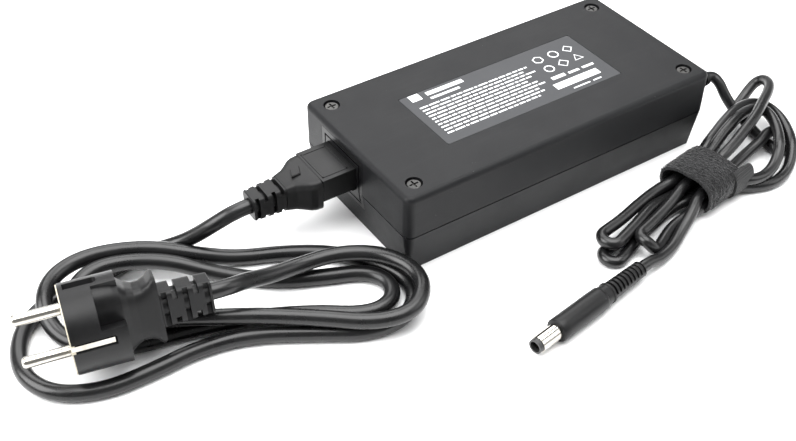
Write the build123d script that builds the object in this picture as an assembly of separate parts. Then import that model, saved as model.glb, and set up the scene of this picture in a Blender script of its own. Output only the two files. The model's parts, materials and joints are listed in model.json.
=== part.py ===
"""Laptop power adapter with its mains lead and its output lead, one STEP file for each piece.

Millimetres, +Z up. The origin is on the floor under the middle of the case. The mains inlet is at
the -X end and the output lead leaves at the +X end.
"""

from build123d import *
from math import atan2, cos, degrees, radians, sin, tan
import os

# ---- driving dimensions ----
CASE_LENGTH = 177.0
CASE_WIDTH = 86.5
CASE_HEIGHT = 43.5
SPLIT_HEIGHT = 21.5
CASE_WALL = 2.2
CASE_INSET = 2.9  # how far each side of the lower shell draws in at the floor
CORNER_RADIUS = 4.0
TOP_FILLET = 2.6
SEAM_DEPTH = 0.5
SEAM_HEIGHT = 0.3

SCREW_INSET = 9.5
SCREW_HEAD_RADIUS = 3.3
SCREW_HEAD_HEIGHT = 1.9
SCREW_SHANK_RADIUS = 1.5
SCREW_SINK = 0.7
SCREW_TIP_HEIGHT = 11.0
BOSS_RADIUS = 4.6
SLOT_LENGTH = 4.4
SLOT_WIDTH = 0.9
SLOT_DEPTH = 0.8

LABEL_LENGTH = 102.0
LABEL_WIDTH = 40.0
LABEL_THICKNESS = 0.25
LABEL_RECESS = 0.3

INLET_Y = 10.0
INLET_Z = 26.0
INLET_WIDTH = 34.5
INLET_HEIGHT = 27.5
INLET_DEPTH = 25.0
SOCKET_WIDTH = 24.6
SOCKET_HEIGHT = 16.6
SOCKET_DEPTH = 20.0
SOCKET_CHAMFER = 4.5
RIM_GROOVE = 0.9
PIN_LENGTH = 17.0
PIN_THICKNESS = 2.0
PIN_BREADTH = 4.0
PIN_SPACING = 7.0
EARTH_OFFSET = 4.0
TAIL_LENGTH = 5.0

CONNECTOR_CLEARANCE = 0.3
INSERT_EXPOSED = 17.0
GRIP_LENGTH = 15.0
RELIEF_LENGTH = 16.0
RELIEF_WIDTH = 12.5
RELIEF_HEIGHT = 13.0
CONTACT_WALL = 0.4

MAINS_DIAMETER = 7.2
DC_DIAMETER = 5.5

FACE_CENTRE = (-231.5, -16.5, 26.0)
PLUG_YAW = -12.0
PLUG_ROLL = 73.0
PLUG_RADIUS = 18.5
PLUG_FRONT = 20.0
PLUG_TAPER = 17.0
PLUG_RELIEF = 21.0
PLUG_NECK_HEIGHT = 16.0
PLUG_NECK_WIDTH = 13.0
FACE_THICKNESS = 1.6
CONTACT_PIN_RADIUS = 2.4
CONTACT_ROOT_RADIUS = 2.1  # the pin's thinner part, inside the plug
CONTACT_SHOULDER = 0.3  # where the thinner part starts, in front of the face
CONTACT_PIN_LENGTH = 19.0
CONTACT_PIN_ROOT = 12.0
CONTACT_PIN_SPACING = 19.0
CLIP_WIDTH = 2.4
CLIP_THICKNESS = 0.8
CLIP_LENGTH = 17.0

BUSHING_Y = -24.2
BUSHING_Z = 21.75
BUSHING_LENGTH = 20.0
BUSHING_ROOT_RADIUS = 5.2
BUSHING_TIP_RADIUS = 4.0
BUSHING_NECK_RADIUS = 3.9
BUSHING_COLLAR = 1.5

TIE_CENTRE = (61.0, -72.0)
TIE_TURN = 9.0
TIE_WIDTH = 24.0
TIE_SPAN = 31.0
TIE_HEIGHT = 18.5
TIE_THICKNESS = 1.8
TAB_LENGTH = 15.0
TAB_THICKNESS = 1.4

DC_TIP = (-70.6, -110.6)
DC_TURN = 9.0
DC_GRIP_RADIUS = 5.4
DC_GRIP_LENGTH = 29.0
DC_COLLAR_LENGTH = 5.0
DC_BOOT_LENGTH = 22.0
DC_BOOT_RADIUS = 4.1
BARREL_RADIUS = 3.7
BARREL_BORE = 2.5
BARREL_LENGTH = 11.0
BARREL_STEP = 0.4  # how much thinner the barrel's root and the tip ring are than its outside
BARREL_SHOULDER = 0.3  # where the root starts, in front of the grip
BARREL_ROOT = 6.0
TIP_LENGTH = 2.0
CENTER_PIN_RADIUS = 0.5

BOARD_THICKNESS = 1.6
BOARD_HEIGHT = 5.2
BOARD_MARGIN = 3.0
BOARD_NOTCH = 1.0  # clearance of the board round a screw boss
SHEET_THICKNESS = 0.4
SHEET_MARGIN = 1.0
POST_SIZE = (2.0, 8.0)  # each board rest, along X and along Y
SHIELD_THICKNESS = 0.8
SHIELD_WIDTH = 74.0
SHIELD_LIFT = 2.0

# Pieces on the board: length along X, width along Y and height, in that order.
X_CAPACITOR_SIZE = (18.0, 9.0, 16.0)
CONTROLLER_SIZE = (1.6, 20.0, 22.0)
BRIDGE_SIZE = (22.0, 4.4, 19.0)
CHOKE_CORE_SIZE = (26.0, 7.0, 25.0)
PRIMARY_SINK_SIZE = (66.0, 3.0, 26.0)
TRANSISTOR_SIZE = (10.0, 4.5, 15.0)
TRANSFORMER_SIZE = (30.0, 32.0, 28.0)
OUTPUT_SINK_SIZE = (3.0, 44.0, 26.0)
RECTIFIER_SIZE = (4.6, 10.0, 15.0)
CHOKE_YOKE = 4.0
CHOKE_WRAP = 4.0  # depth of the wire round the choke's core
TRANSFORMER_LEG = 4.0
TRANSFORMER_POST_RADIUS = 5.0
TRANSFORMER_WIRE_RADIUS = 10.5
SINK_FOOT = (5.0, 1.5)
TAB_LIFT = 3.0
FILTER_RADIUS = 12.0
FILTER_THICKNESS = 8.0
FILTER_WRAP_HEIGHT = 8.4
COIL_WALL = 1.2
FUSE_RADIUS = 3.0
FUSE_LENGTH = 22.0
DISC_RADIUS = 4.5
DISC_THICKNESS = 3.0
BULK_RADIUS = 12.5
BULK_LENGTH = 46.0
OUTPUT_CAN_RADIUS = 4.6
OUTPUT_CAN_HEIGHT = 20.0
FERRITE_SIZE = (6.5, 3.4, 9.0)  # outer radius, bore radius and length
FERRITE_INSET = 17.5
LEAD_RADIUS = 1.3
LEAD_REACH = 4.0
LEAD_BEND = 2.5
OUTPUT_LEAD_INSET = 28.5

# Where the rows of pieces lie across the board.
COIL_ROW_Y = 20.0
CENTRE_ROW_Y = -2.0
BULK_ROW_Y = -23.0
OUTPUT_ROW_Y = 8.0
OUTPUT_CAN_PITCH = 14.5
RECTIFIER_PITCH = 16.0

PART_GAP = 0.15  # clearance between pieces that seat in each other
EPS = 0.01
RELIEF_SLOT = 1.6  # width of each slot cut in a strain relief

INNER_LENGTH = CASE_LENGTH - 2 * CASE_WALL
INNER_WIDTH = CASE_WIDTH - 2 * CASE_WALL
END_LEFT = -CASE_LENGTH / 2
END_RIGHT = CASE_LENGTH / 2
BOARD_TOP = BOARD_HEIGHT + BOARD_THICKNESS
SHIELD_TOP = CASE_HEIGHT - CASE_WALL - SHEET_THICKNESS - 2 * PART_GAP
SCREW_SEAT = CASE_HEIGHT - SCREW_SINK - SCREW_HEAD_HEIGHT
LEADS_FOOT_X = END_LEFT + INLET_DEPTH + TAIL_LENGTH + LEAD_REACH
OUTPUT_LEAD_X = END_RIGHT - OUTPUT_LEAD_INSET
SHIELD_START = LEADS_FOOT_X + 2 * LEAD_REACH
SHIELD_END = END_RIGHT - SCREW_INSET - BOSS_RADIUS - BOARD_NOTCH
WALL_LEAN = CASE_INSET * (SPLIT_HEIGHT - BUSHING_Z + BUSHING_ROOT_RADIUS) / SPLIT_HEIGHT
BUSHING_INNER = END_RIGHT - CASE_WALL - WALL_LEAN - PART_GAP - BUSHING_COLLAR
RELIEF_END = END_LEFT - INSERT_EXPOSED - GRIP_LENGTH - RELIEF_LENGTH

# Mains lead, from the strain relief of the connector to the strain relief of the wall plug.
MAINS_ROUTE = [
    (RELIEF_END, INLET_Y, INLET_Z), (-143.5, INLET_Y, INLET_Z), (-152, 13, 21), (-159.5, 19, 13),
    (-167, 25.5, 6.5), (-178, 30.5, 3.7), (-193, 30, 3.6), (-209, 27, 3.6), (-225, 26, 3.6),
    (-239, 19, 3.6), (-248, 6, 3.6), (-251, -10, 3.6), (-244, -25, 3.6), (-227, -34, 3.6), (-206, -35, 3.6),
    (-185, -34, 3.6), (-164, -39, 3.6), (-141, -53, 3.6), (-121, -66, 3.6), (-103, -66, 3.6),
    (-92, -56, 3.6), (-91, -42, 3.6), (-99, -27, 3.6), (-112, -13, 3.6), (-128, -3, 3.6),
    (-147, 5, 4), (-162, 13, 7.5), (-177, 23.5, 11), (-193, 32, 11.2), (-209, 35, 11.4),
    (-223, 30, 11.6), (-231, 19, 10.6), (-232, 6, 5.2), (-226, -6, 3.6), (-210, -18, 3.6),
    (-187, -22.5, 3.6), (-160, -30, 3.6), (-136, -42, 3.6), (-117, -56, 3.6), (-103, -55, 3.6),
    (-98, -44, 3.6), (-104, -33, 3.6), (-120, -26.5, 3.6), (-137, -18, 3.6), (-150, -8, 3.6),
    (-163, 3, 6), (-176, 13, 10.8), (-191, 22.5, 11.2), (-206, 26, 11.2), (-218, 20, 9.5),
    (-222, 9, 5), (-217, -3, 3.6), (-204, -11, 6), (-189, -20, 11), (-174, -29, 11.3),
    (-157, -39, 11), (-138, -53, 11), (-120, -68, 11), (-103, -71.5, 11.5), (-91, -61, 12.5),
    (-91, -46, 13), (-100, -32, 12.5), (-115, -23.5, 12), (-131, -22, 12.5), (-146, -24, 16),
    (-157, -26, 21),
]

# Output lead, from the bushing down to the hank, and from the hank to the plug.
DC_EXIT_ROUTE = [
    (END_RIGHT + BUSHING_LENGTH, BUSHING_Y, BUSHING_Z), (113, BUSHING_Y, BUSHING_Z),
    (114.5, -29, 19.5), (114.5, -34, 14.5), (116, -39, 9.5),
]
DC_TAIL_ROUTE = [(32, -90, 3.8), (22, -95, 3), (11, -98.5, 3.4)]


# ---- helpers ----
def block(x, y, z, length, width, height):
    """A box centred on x and y that stands on z."""
    return Pos(x, y, z) * Box(length, width, height, align=(Align.CENTER, Align.CENTER, Align.MIN))


def post(x, y, z, radius, height):
    """An upright cylinder that stands on z."""
    return Pos(x, y, z) * Cylinder(radius, height, align=(Align.CENTER, Align.CENTER, Align.MIN))


def bar(x, y, z, radius, length):
    """A cylinder along X that starts at x."""
    return Pos(x + length / 2, y, z) * Rot(Y=90) * Cylinder(radius, length)


def x_section(x, y, z, width, height, radius):
    """A rounded rectangle in the plane at x, width along Y and height along Z."""
    plane = Plane(origin=(x, y, z), x_dir=(0, 1, 0), z_dir=(1, 0, 0))
    return plane * RectangleRounded(width, height, radius)


def corner_places():
    """The four screw places, as X and Y."""
    across = CASE_LENGTH / 2 - SCREW_INSET
    aside = CASE_WIDTH / 2 - SCREW_INSET
    return [(sx * across, sy * aside) for sx in (-1, 1) for sy in (-1, 1)]


def spread(start, end, lengths):
    """The middle of each of a row of pieces between start and end, with equal gaps."""
    gap = (end - start - sum(lengths)) / (len(lengths) + 1)
    middles = []
    for length in lengths:
        start += gap + length
        middles.append(start - length / 2)
    return middles


def cord_tube(name, route, diameter):
    """A round tube along straight runs joined by arcs as large as their runs allow."""
    points = [Vector(*p) for p in route]
    runs = [(b - a).length for a, b in zip(points, points[1:])]
    radii = []
    for i in range(1, len(points) - 1):
        turn = (points[i] - points[i - 1]).get_angle(points[i + 1] - points[i])
        radii.append(0.45 * min(runs[i - 1], runs[i]) / tan(radians(turn) / 2))
    path = FilletPolyline(*points, radius=radii)
    start = Plane(origin=points[0], z_dir=points[1] - points[0])
    tube = sweep(start * Circle(diameter / 2), path=path)
    ideal = path.length * 3.14159265 * diameter**2 / 4
    print(f"{name}: {path.length:.0f} mm long, radii {min(radii):.1f} to {max(radii):.0f} mm,")
    print(f"  volume {tube.volume:.0f} against section times length {ideal:.0f}")
    return tube


# ---- case ----
def lower_outline(inset):
    """The lower shell's outer form, or its cavity's, drawn in by inset and by its taper."""
    angle = degrees(atan2(CASE_INSET, SPLIT_HEIGHT))
    rim = RectangleRounded(CASE_LENGTH - 2 * inset, CASE_WIDTH - 2 * inset, CORNER_RADIUS)
    return extrude(Pos(0, 0, SPLIT_HEIGHT) * rim, SPLIT_HEIGHT, dir=(0, 0, -1), taper=angle)


def seam_rebate(z):
    """The step round the case at the seam, which leaves a thin groove between the shells."""
    outer = RectangleRounded(CASE_LENGTH + 2, CASE_WIDTH + 2, CORNER_RADIUS)
    inner = RectangleRounded(CASE_LENGTH - 2 * SEAM_DEPTH, CASE_WIDTH - 2 * SEAM_DEPTH, CORNER_RADIUS)
    return Pos(0, 0, z) * extrude(outer - inner, SEAM_HEIGHT)


def upper_body():
    """The upper shell's outer form with its rounded top edge."""
    outline = RectangleRounded(CASE_LENGTH, CASE_WIDTH, CORNER_RADIUS)
    body = Pos(0, 0, SPLIT_HEIGHT) * extrude(outline, CASE_HEIGHT - SPLIT_HEIGHT)
    top_edges = body.faces().sort_by(Axis.Z)[-1].edges()
    return fillet(top_edges, TOP_FILLET)


def inlet_window(margin):
    """The opening for the mains inlet, through the end wall of both shells."""
    return Pos(END_LEFT, INLET_Y, INLET_Z) * Box(
        4 * CASE_WALL + 2 * CASE_INSET, INLET_WIDTH + 2 * margin, INLET_HEIGHT + 2 * margin
    )


def bushing_hole():
    """The hole for the output bushing, through the end wall of both shells."""
    start = END_RIGHT - 4 * CASE_WALL
    return bar(start, BUSHING_Y, BUSHING_Z, BUSHING_NECK_RADIUS + PART_GAP, 8 * CASE_WALL)


def make_top_shell():
    """Upper shell: open below, with screw bosses, counterbores and the label's recess."""
    shell = upper_body()
    cavity = extrude(RectangleRounded(INNER_LENGTH, INNER_WIDTH, CORNER_RADIUS / 2),
                     CASE_HEIGHT - SPLIT_HEIGHT - CASE_WALL + EPS)
    shell -= Pos(0, 0, SPLIT_HEIGHT - EPS) * cavity
    shell -= seam_rebate(SPLIT_HEIGHT)
    for x, y in corner_places():
        shell += post(x, y, SPLIT_HEIGHT, BOSS_RADIUS, CASE_HEIGHT - SPLIT_HEIGHT - CASE_WALL)
    for x, y in corner_places():
        shell -= post(x, y, SCREW_SEAT, SCREW_HEAD_RADIUS + 4 * PART_GAP, CASE_HEIGHT)
        shell -= post(x, y, 0, SCREW_SHANK_RADIUS + PART_GAP, CASE_HEIGHT)
    shell -= block(0, 0, CASE_HEIGHT - LABEL_RECESS, LABEL_LENGTH + 2 * PART_GAP,
                   LABEL_WIDTH + 2 * PART_GAP, CASE_HEIGHT)
    return shell - inlet_window(PART_GAP) - bushing_hole()


def make_bottom_shell():
    """Lower shell: open above, drawn in towards the floor, with the blind screw bosses."""
    cavity = lower_outline(CASE_WALL) & block(0, 0, CASE_WALL, CASE_LENGTH, CASE_WIDTH, SPLIT_HEIGHT)
    shell = lower_outline(0) - cavity - seam_rebate(SPLIT_HEIGHT - SEAM_HEIGHT)
    for x, y in corner_places():
        shell += post(x, y, CASE_WALL - EPS, BOSS_RADIUS, SPLIT_HEIGHT - CASE_WALL + EPS)
    bore_bottom = SCREW_TIP_HEIGHT - PART_GAP
    for x, y in corner_places():
        shell -= post(x, y, bore_bottom, SCREW_SHANK_RADIUS, CASE_HEIGHT)
    for x in (-INNER_LENGTH / 4, INNER_LENGTH / 4):
        shell += block(x, 0, CASE_WALL - EPS, *POST_SIZE, BOARD_HEIGHT - CASE_WALL - SHEET_THICKNESS + EPS)
    return shell - inlet_window(PART_GAP) - bushing_hole()


def make_screws():
    """Four slotted cross-head screws, each a separate solid."""
    screws = []
    for x, y in corner_places():
        head = post(x, y, SCREW_SEAT, SCREW_HEAD_RADIUS, SCREW_HEAD_HEIGHT)
        head = fillet(head.faces().sort_by(Axis.Z)[-1].edges(), SCREW_HEAD_HEIGHT / 4)
        for length, width in ((SLOT_LENGTH, SLOT_WIDTH), (SLOT_WIDTH, SLOT_LENGTH)):
            head -= block(x, y, CASE_HEIGHT - SCREW_SINK - SLOT_DEPTH, length, width, SLOT_DEPTH + EPS)
        shank = post(x, y, SCREW_TIP_HEIGHT, SCREW_SHANK_RADIUS, SCREW_SEAT - SCREW_TIP_HEIGHT)
        screws.append(head + shank)
    return Compound(children=screws)


def make_label():
    """The rating label, seated in its recess."""
    base = CASE_HEIGHT - LABEL_RECESS
    return Pos(0, 0, base) * extrude(RectangleRounded(LABEL_LENGTH, LABEL_WIDTH, 1.0), LABEL_THICKNESS)


# ---- mains inlet and its connector ----
def socket_outline(margin):
    """The inlet's six-sided opening, grown by margin: a rectangle with its two lower corners cut."""
    half_w = SOCKET_WIDTH / 2 + margin
    half_h = SOCKET_HEIGHT / 2 + margin
    cut = SOCKET_CHAMFER
    corners = [(-half_w, half_h), (half_w, half_h), (half_w, cut - half_h), (half_w - cut, -half_h),
               (cut - half_w, -half_h), (-half_w, cut - half_h)]
    return make_face(Polyline(*corners, close=True))


def socket_plane(x):
    """A plane at x that faces out of the inlet."""
    return Plane(origin=(x, INLET_Y, INLET_Z), x_dir=(0, 1, 0), z_dir=(1, 0, 0))


def pin_places():
    """The inlet's contacts as Y and Z: line, neutral and earth."""
    low = INLET_Z - EARTH_OFFSET / 2
    return [(INLET_Y - PIN_SPACING, low), (INLET_Y + PIN_SPACING, low), (INLET_Y, low + EARTH_OFFSET)]


def make_inlet_housing():
    """The mains inlet: a flush block with a socket and a groove round its rim."""
    body = Pos(END_LEFT + INLET_DEPTH / 2, INLET_Y, INLET_Z) * Box(INLET_DEPTH, INLET_WIDTH, INLET_HEIGHT)
    body &= upper_body() + lower_outline(0)
    body -= socket_plane(END_LEFT - EPS) * extrude(socket_outline(0), SOCKET_DEPTH + EPS)
    groove = Rectangle(INLET_WIDTH - 5, INLET_HEIGHT - 5) - Rectangle(
        INLET_WIDTH - 5 - 2 * RIM_GROOVE, INLET_HEIGHT - 5 - 2 * RIM_GROOVE)
    body -= socket_plane(END_LEFT - EPS) * extrude(groove, 1.2)
    for y, z in pin_places():
        body -= Pos(END_LEFT + INLET_DEPTH, y, z) * Box(2 * INLET_DEPTH, PIN_THICKNESS, PIN_BREADTH)
    return body


def make_inlet_pin(place):
    """One flat contact pin, from its tip in the socket to its tail behind the block."""
    y, z = place
    length = PIN_LENGTH + INLET_DEPTH - SOCKET_DEPTH + TAIL_LENGTH
    start = END_LEFT + SOCKET_DEPTH - PIN_LENGTH
    pin = Pos(start + length / 2, y, z) * Box(length, PIN_THICKNESS, PIN_BREADTH)
    tip = pin.faces().sort_by(Axis.X)[0]
    return chamfer(tip.edges(), 0.5)


def make_c13_insert():
    """The connector's rigid front, part way in the socket, with three contact slots."""
    front = END_LEFT + SOCKET_DEPTH - CONNECTOR_CLEARANCE
    length = front - END_LEFT + INSERT_EXPOSED
    insert = socket_plane(front - length) * extrude(socket_outline(-CONNECTOR_CLEARANCE), length)
    for y, z in pin_places():
        insert -= Pos(front - PIN_LENGTH / 2, y, z) * Box(
            PIN_LENGTH + 2, PIN_THICKNESS + 2 * PART_GAP + 2 * CONTACT_WALL + 2 * PART_GAP,
            PIN_BREADTH + 2 * PART_GAP + 2 * CONTACT_WALL + 2 * PART_GAP)
    return insert


def make_c13_contacts():
    """Three sprung sleeves that the inlet's pins slide into."""
    front = END_LEFT + SOCKET_DEPTH - CONNECTOR_CLEARANCE - 1
    length = PIN_LENGTH - 2
    sleeves = []
    for y, z in pin_places():
        middle = Pos(front - length / 2, y, z)
        wide = PIN_THICKNESS + 2 * PART_GAP
        tall = PIN_BREADTH + 2 * PART_GAP
        outer = Box(length, wide + 2 * CONTACT_WALL, tall + 2 * CONTACT_WALL)
        sleeves.append(middle * (outer - Box(length + 1, wide, tall)))
    return Compound(children=sleeves)


def comb(start, count, pitch, y, z, width, height):
    """Slots cut from alternate sides into a strain relief that runs along X."""
    cuts = []
    for i in range(count):
        x = start - (i + 0.5) * pitch
        for side in (-1, 1):
            cuts.append(Pos(x + side * pitch / 5, y + side * width / 2, z) * Box(
                RELIEF_SLOT, width * 0.45, height * 0.55))
            cuts.append(Pos(x - side * pitch / 5, y, z + side * height / 2) * Box(
                RELIEF_SLOT, width * 0.45, height * 0.30))
    return cuts


def make_c13_grip():
    """The moulded rear of the connector: it narrows to a strain relief with staggered slots."""
    front = END_LEFT - INSERT_EXPOSED
    neck = front - GRIP_LENGTH
    width = SOCKET_WIDTH - 2 * CONNECTOR_CLEARANCE
    height = SOCKET_HEIGHT - 2 * CONNECTOR_CLEARANCE
    sections = [
        x_section(front, INLET_Y, INLET_Z, width + 0.6, height + 0.6, 2.0),
        x_section(front - GRIP_LENGTH * 0.35, INLET_Y, INLET_Z, width, height + 0.4, 2.4),
        x_section(front - GRIP_LENGTH * 0.75, INLET_Y, INLET_Z, RELIEF_WIDTH + 4, RELIEF_HEIGHT + 1, 3.0),
        x_section(neck, INLET_Y, INLET_Z, RELIEF_WIDTH, RELIEF_HEIGHT, 2.6),
    ]
    grip = loft(sections, ruled=True)
    relief = loft([
        x_section(neck, INLET_Y, INLET_Z, RELIEF_WIDTH, RELIEF_HEIGHT, 2.6),
        x_section(RELIEF_END, INLET_Y, INLET_Z, RELIEF_WIDTH - 1.5, RELIEF_HEIGHT - 1.5, 2.2),
    ])
    for cut in comb(neck, 3, RELIEF_LENGTH / 3, INLET_Y, INLET_Z, RELIEF_WIDTH, RELIEF_HEIGHT):
        relief -= cut
    return grip + relief


# ---- wall plug ----
def plug_place():
    """The plug's frame: X from its face to its cord, Y through the two pins."""
    return Pos(*FACE_CENTRE) * Rot(Z=PLUG_YAW) * Rot(X=PLUG_ROLL)


def clip_slots(margin):
    """The two side slots that hold the earth clips."""
    slots = []
    for side in (-1, 1):
        slots.append(Pos(CLIP_LENGTH / 2, 0, side * (PLUG_RADIUS - CLIP_THICKNESS)) * Box(
            CLIP_LENGTH + 2 * margin, CLIP_WIDTH + 2 * margin, 2 * CLIP_THICKNESS + 2 * margin))
    return slots


def make_plug_body():
    """The moulded plug: a round front, a finger waist and a slotted strain relief."""
    waist = PLUG_FRONT + PLUG_TAPER * 0.55
    collar = PLUG_FRONT + PLUG_TAPER
    front = bar(FACE_THICKNESS, 0, 0, PLUG_RADIUS, PLUG_FRONT - FACE_THICKNESS)
    middle = loft([
        x_section(PLUG_FRONT, 0, 0, 1.62 * PLUG_RADIUS, 1.56 * PLUG_RADIUS, 7.0),
        x_section(waist, 0, 0, 1.15 * PLUG_RADIUS, PLUG_NECK_WIDTH, 5.0),
        x_section(collar, 0, 0, 1.25 * PLUG_RADIUS, PLUG_NECK_WIDTH, 4.0),
    ], ruled=True)
    relief = loft([
        x_section(collar, 0, 0, PLUG_NECK_HEIGHT, PLUG_NECK_WIDTH, 2.5),
        x_section(collar + PLUG_RELIEF, 0, 0, PLUG_NECK_HEIGHT - 2, PLUG_NECK_WIDTH - 1.5, 2.2),
    ])
    for cut in comb(collar + PLUG_RELIEF, 3, PLUG_RELIEF / 3, 0, 0, PLUG_NECK_HEIGHT, PLUG_NECK_WIDTH):
        relief -= cut
    body = front + middle + relief
    for slot in clip_slots(0):
        body -= slot
    for side in (-1, 1):
        body -= Pos(PLUG_FRONT / 2, side * PLUG_RADIUS, 0) * Box(PLUG_FRONT - 4, 2.4, 4.6)
        body -= bar(0, side * CONTACT_PIN_SPACING / 2, 0, CONTACT_ROOT_RADIUS, CONTACT_PIN_ROOT)
    return plug_place() * body


def make_plug_face():
    """The carrier plate across the plug's front, bored for the two pins."""
    face = bar(0, 0, 0, PLUG_RADIUS - 0.4, FACE_THICKNESS)
    for side in (-1, 1):
        face -= bar(-1, side * CONTACT_PIN_SPACING / 2, 0, CONTACT_ROOT_RADIUS, FACE_THICKNESS + 2)
        face -= Pos(0, 0, side * PLUG_RADIUS) * Box(4 * FACE_THICKNESS, CLIP_WIDTH, 4 * CLIP_THICKNESS)
    return plug_place() * face


def make_plug_pin(side):
    """One round contact pin with a rounded tip, set into the plug by its thinner root."""
    place = side * CONTACT_PIN_SPACING / 2
    pin = bar(-CONTACT_PIN_LENGTH, place, 0, CONTACT_PIN_RADIUS, CONTACT_PIN_LENGTH - CONTACT_SHOULDER)
    tip = pin.faces().sort_by(Axis.X)[0]
    pin = fillet(tip.edges(), CONTACT_PIN_RADIUS * 0.7)
    root = bar(-CONTACT_SHOULDER, place, 0, CONTACT_ROOT_RADIUS, CONTACT_SHOULDER + CONTACT_PIN_ROOT)
    return plug_place() * (pin + root)


def make_earth_clips():
    """Two flat earth clips, one in each side slot."""
    clips = []
    for side in (-1, 1):
        clips.append(plug_place() * Pos(
            CLIP_LENGTH / 2, 0, side * (PLUG_RADIUS - CLIP_THICKNESS * 1.5)) * Box(
            CLIP_LENGTH - 2 * PART_GAP, CLIP_WIDTH - 2 * PART_GAP, CLIP_THICKNESS))
    return Compound(children=clips)


def plug_cord_joint():
    """Where the mains cord meets the wall plug, after one point further out on the plug's axis."""
    reach = PLUG_FRONT + PLUG_TAPER + PLUG_RELIEF
    turn = radians(PLUG_YAW)
    return [(FACE_CENTRE[0] + r * cos(turn), FACE_CENTRE[1] + r * sin(turn), FACE_CENTRE[2])
            for r in (reach + 7, reach)]


# ---- output lead ----
def make_output_bushing():
    """The output strain relief: a collar inside the wall, a neck through it and a tapered boot."""
    collar = bar(BUSHING_INNER, BUSHING_Y, BUSHING_Z, BUSHING_ROOT_RADIUS, BUSHING_COLLAR)
    neck_start = BUSHING_INNER + BUSHING_COLLAR
    neck = bar(neck_start, BUSHING_Y, BUSHING_Z, BUSHING_NECK_RADIUS, END_RIGHT + PART_GAP - neck_start)
    plane = Plane(origin=(END_RIGHT + PART_GAP, BUSHING_Y, BUSHING_Z), z_dir=(1, 0, 0))
    tip = plane.offset(BUSHING_LENGTH - PART_GAP)
    boot = loft([plane * Circle(BUSHING_ROOT_RADIUS), tip * Circle(BUSHING_TIP_RADIUS)])
    for i in range(4):
        x = END_RIGHT + 4 + i * 4.4
        for side in (-1, 1):
            boot -= Pos(x, BUSHING_Y + side * BUSHING_ROOT_RADIUS, BUSHING_Z) * Box(1.2, 4.4, 7)
    return collar + neck + boot


def tie_place():
    """The cable tie's frame: X along the hank, on the floor."""
    return Pos(*TIE_CENTRE, 0) * Rot(Z=TIE_TURN)


def tie_profile(margin):
    """The tie's arched section in the plane across the hank, drawn in by margin."""
    half = TIE_SPAN / 2 - margin
    floor = margin
    crown = TIE_HEIGHT - margin
    shoulder = floor + (crown - floor) * 0.35
    arch = ThreePointArc((-half, shoulder), (0, crown), (half, shoulder))
    sides = Polyline((half, shoulder), (half - 2, floor), (2 - half, floor), (-half, shoulder))
    return make_face(Curve() + [arch, sides])


def make_cable_tie():
    """The hook-and-loop band round the hank."""
    plane = Plane(origin=(-TIE_WIDTH / 2, 0, 0), x_dir=(0, 1, 0), z_dir=(1, 0, 0))
    outer = plane * extrude(tie_profile(0), TIE_WIDTH)
    inner = plane.offset(-1) * extrude(tie_profile(TIE_THICKNESS), TIE_WIDTH + 2)
    return tie_place() * (outer - inner)


def make_tie_tab():
    """The band's sewn end, laid against its near side."""
    plane = Plane(origin=(TIE_WIDTH / 2 - TAB_LENGTH / 2, 0, 0), x_dir=(0, 1, 0), z_dir=(1, 0, 0))
    band = plane * extrude(tie_profile(-TAB_THICKNESS), TAB_LENGTH)
    band -= plane.offset(-1) * extrude(tie_profile(0), TAB_LENGTH + 2)
    near_side = Pos(0, -TIE_SPAN / 2, TIE_HEIGHT / 2) * Box(4 * TAB_LENGTH, TIE_SPAN - 6, TIE_HEIGHT - 1)
    return tie_place() * (band & near_side)


def make_dc_hank():
    """The wound part of the output lead as one solid: two lobes joined through the tie."""
    reach = TIE_WIDTH + TAB_LENGTH / 2
    plane = Plane(origin=(-TIE_WIDTH / 2 - 2, 0, 0), x_dir=(0, 1, 0), z_dir=(1, 0, 0))
    neck = tie_place() * (plane * extrude(tie_profile(TIE_THICKNESS), reach + 4))
    left = [(52, -60), (56, -86), (42, -90), (30, -92), (14, -97), (6, -97), (-6, -93), (-12, -88),
            (-12, -77), (-4, -72), (12, -68), (38, -63)]
    right = [(69, -60), (73, -84), (80, -88), (93, -92), (107, -90), (116, -84), (123, -76), (131, -62),
             (136, -50), (133, -41), (122, -37), (112, -37), (98, -46), (78, -54)]
    crossing = [(70, -60), (71, -74), (101, -65), (131, -50), (142, -43), (145, -34), (142, -29), (131, -30),
                (112, -38)]
    folds = extrude(make_face(Polyline(*left, close=True)), 12)
    loops = extrude(make_face(Polyline(*right, close=True)), 14)
    upper = Pos(0, 0, 3) * extrude(make_face(Polyline(*crossing, close=True)), 17)
    tie_box = tie_place() * block(TAB_LENGTH / 4, 0, -1, reach + 1, 2 * TIE_SPAN, 3 * TIE_HEIGHT)
    return neck + ((folds + loops + upper) - tie_box)


def dc_place():
    """The output plug's frame: X from its tip to its cord, lying on the floor."""
    return Pos(*DC_TIP, DC_GRIP_RADIUS) * Rot(Z=DC_TURN)


def make_dc_tip():
    """The plug's insulating tip ring."""
    ring = bar(0, 0, 0, BARREL_RADIUS - BARREL_STEP, TIP_LENGTH) - bar(-1, 0, 0, BARREL_BORE, TIP_LENGTH + 2)
    return dc_place() * ring


def make_dc_barrel():
    """The plug's plated outer sleeve, set into the grip by its thinner root."""
    sleeve = bar(TIP_LENGTH, 0, 0, BARREL_RADIUS, BARREL_LENGTH - BARREL_SHOULDER)
    sleeve += bar(TIP_LENGTH + 1, 0, 0, BARREL_RADIUS - BARREL_STEP, BARREL_LENGTH - 1 + BARREL_ROOT)
    return dc_place() * (sleeve - bar(TIP_LENGTH - 1, 0, 0, BARREL_BORE, BARREL_LENGTH + 1))


def make_dc_center_pin():
    """The plug's centre contact, recessed behind the tip."""
    return dc_place() * bar(TIP_LENGTH, 0, 0, CENTER_PIN_RADIUS, BARREL_LENGTH)


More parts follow.
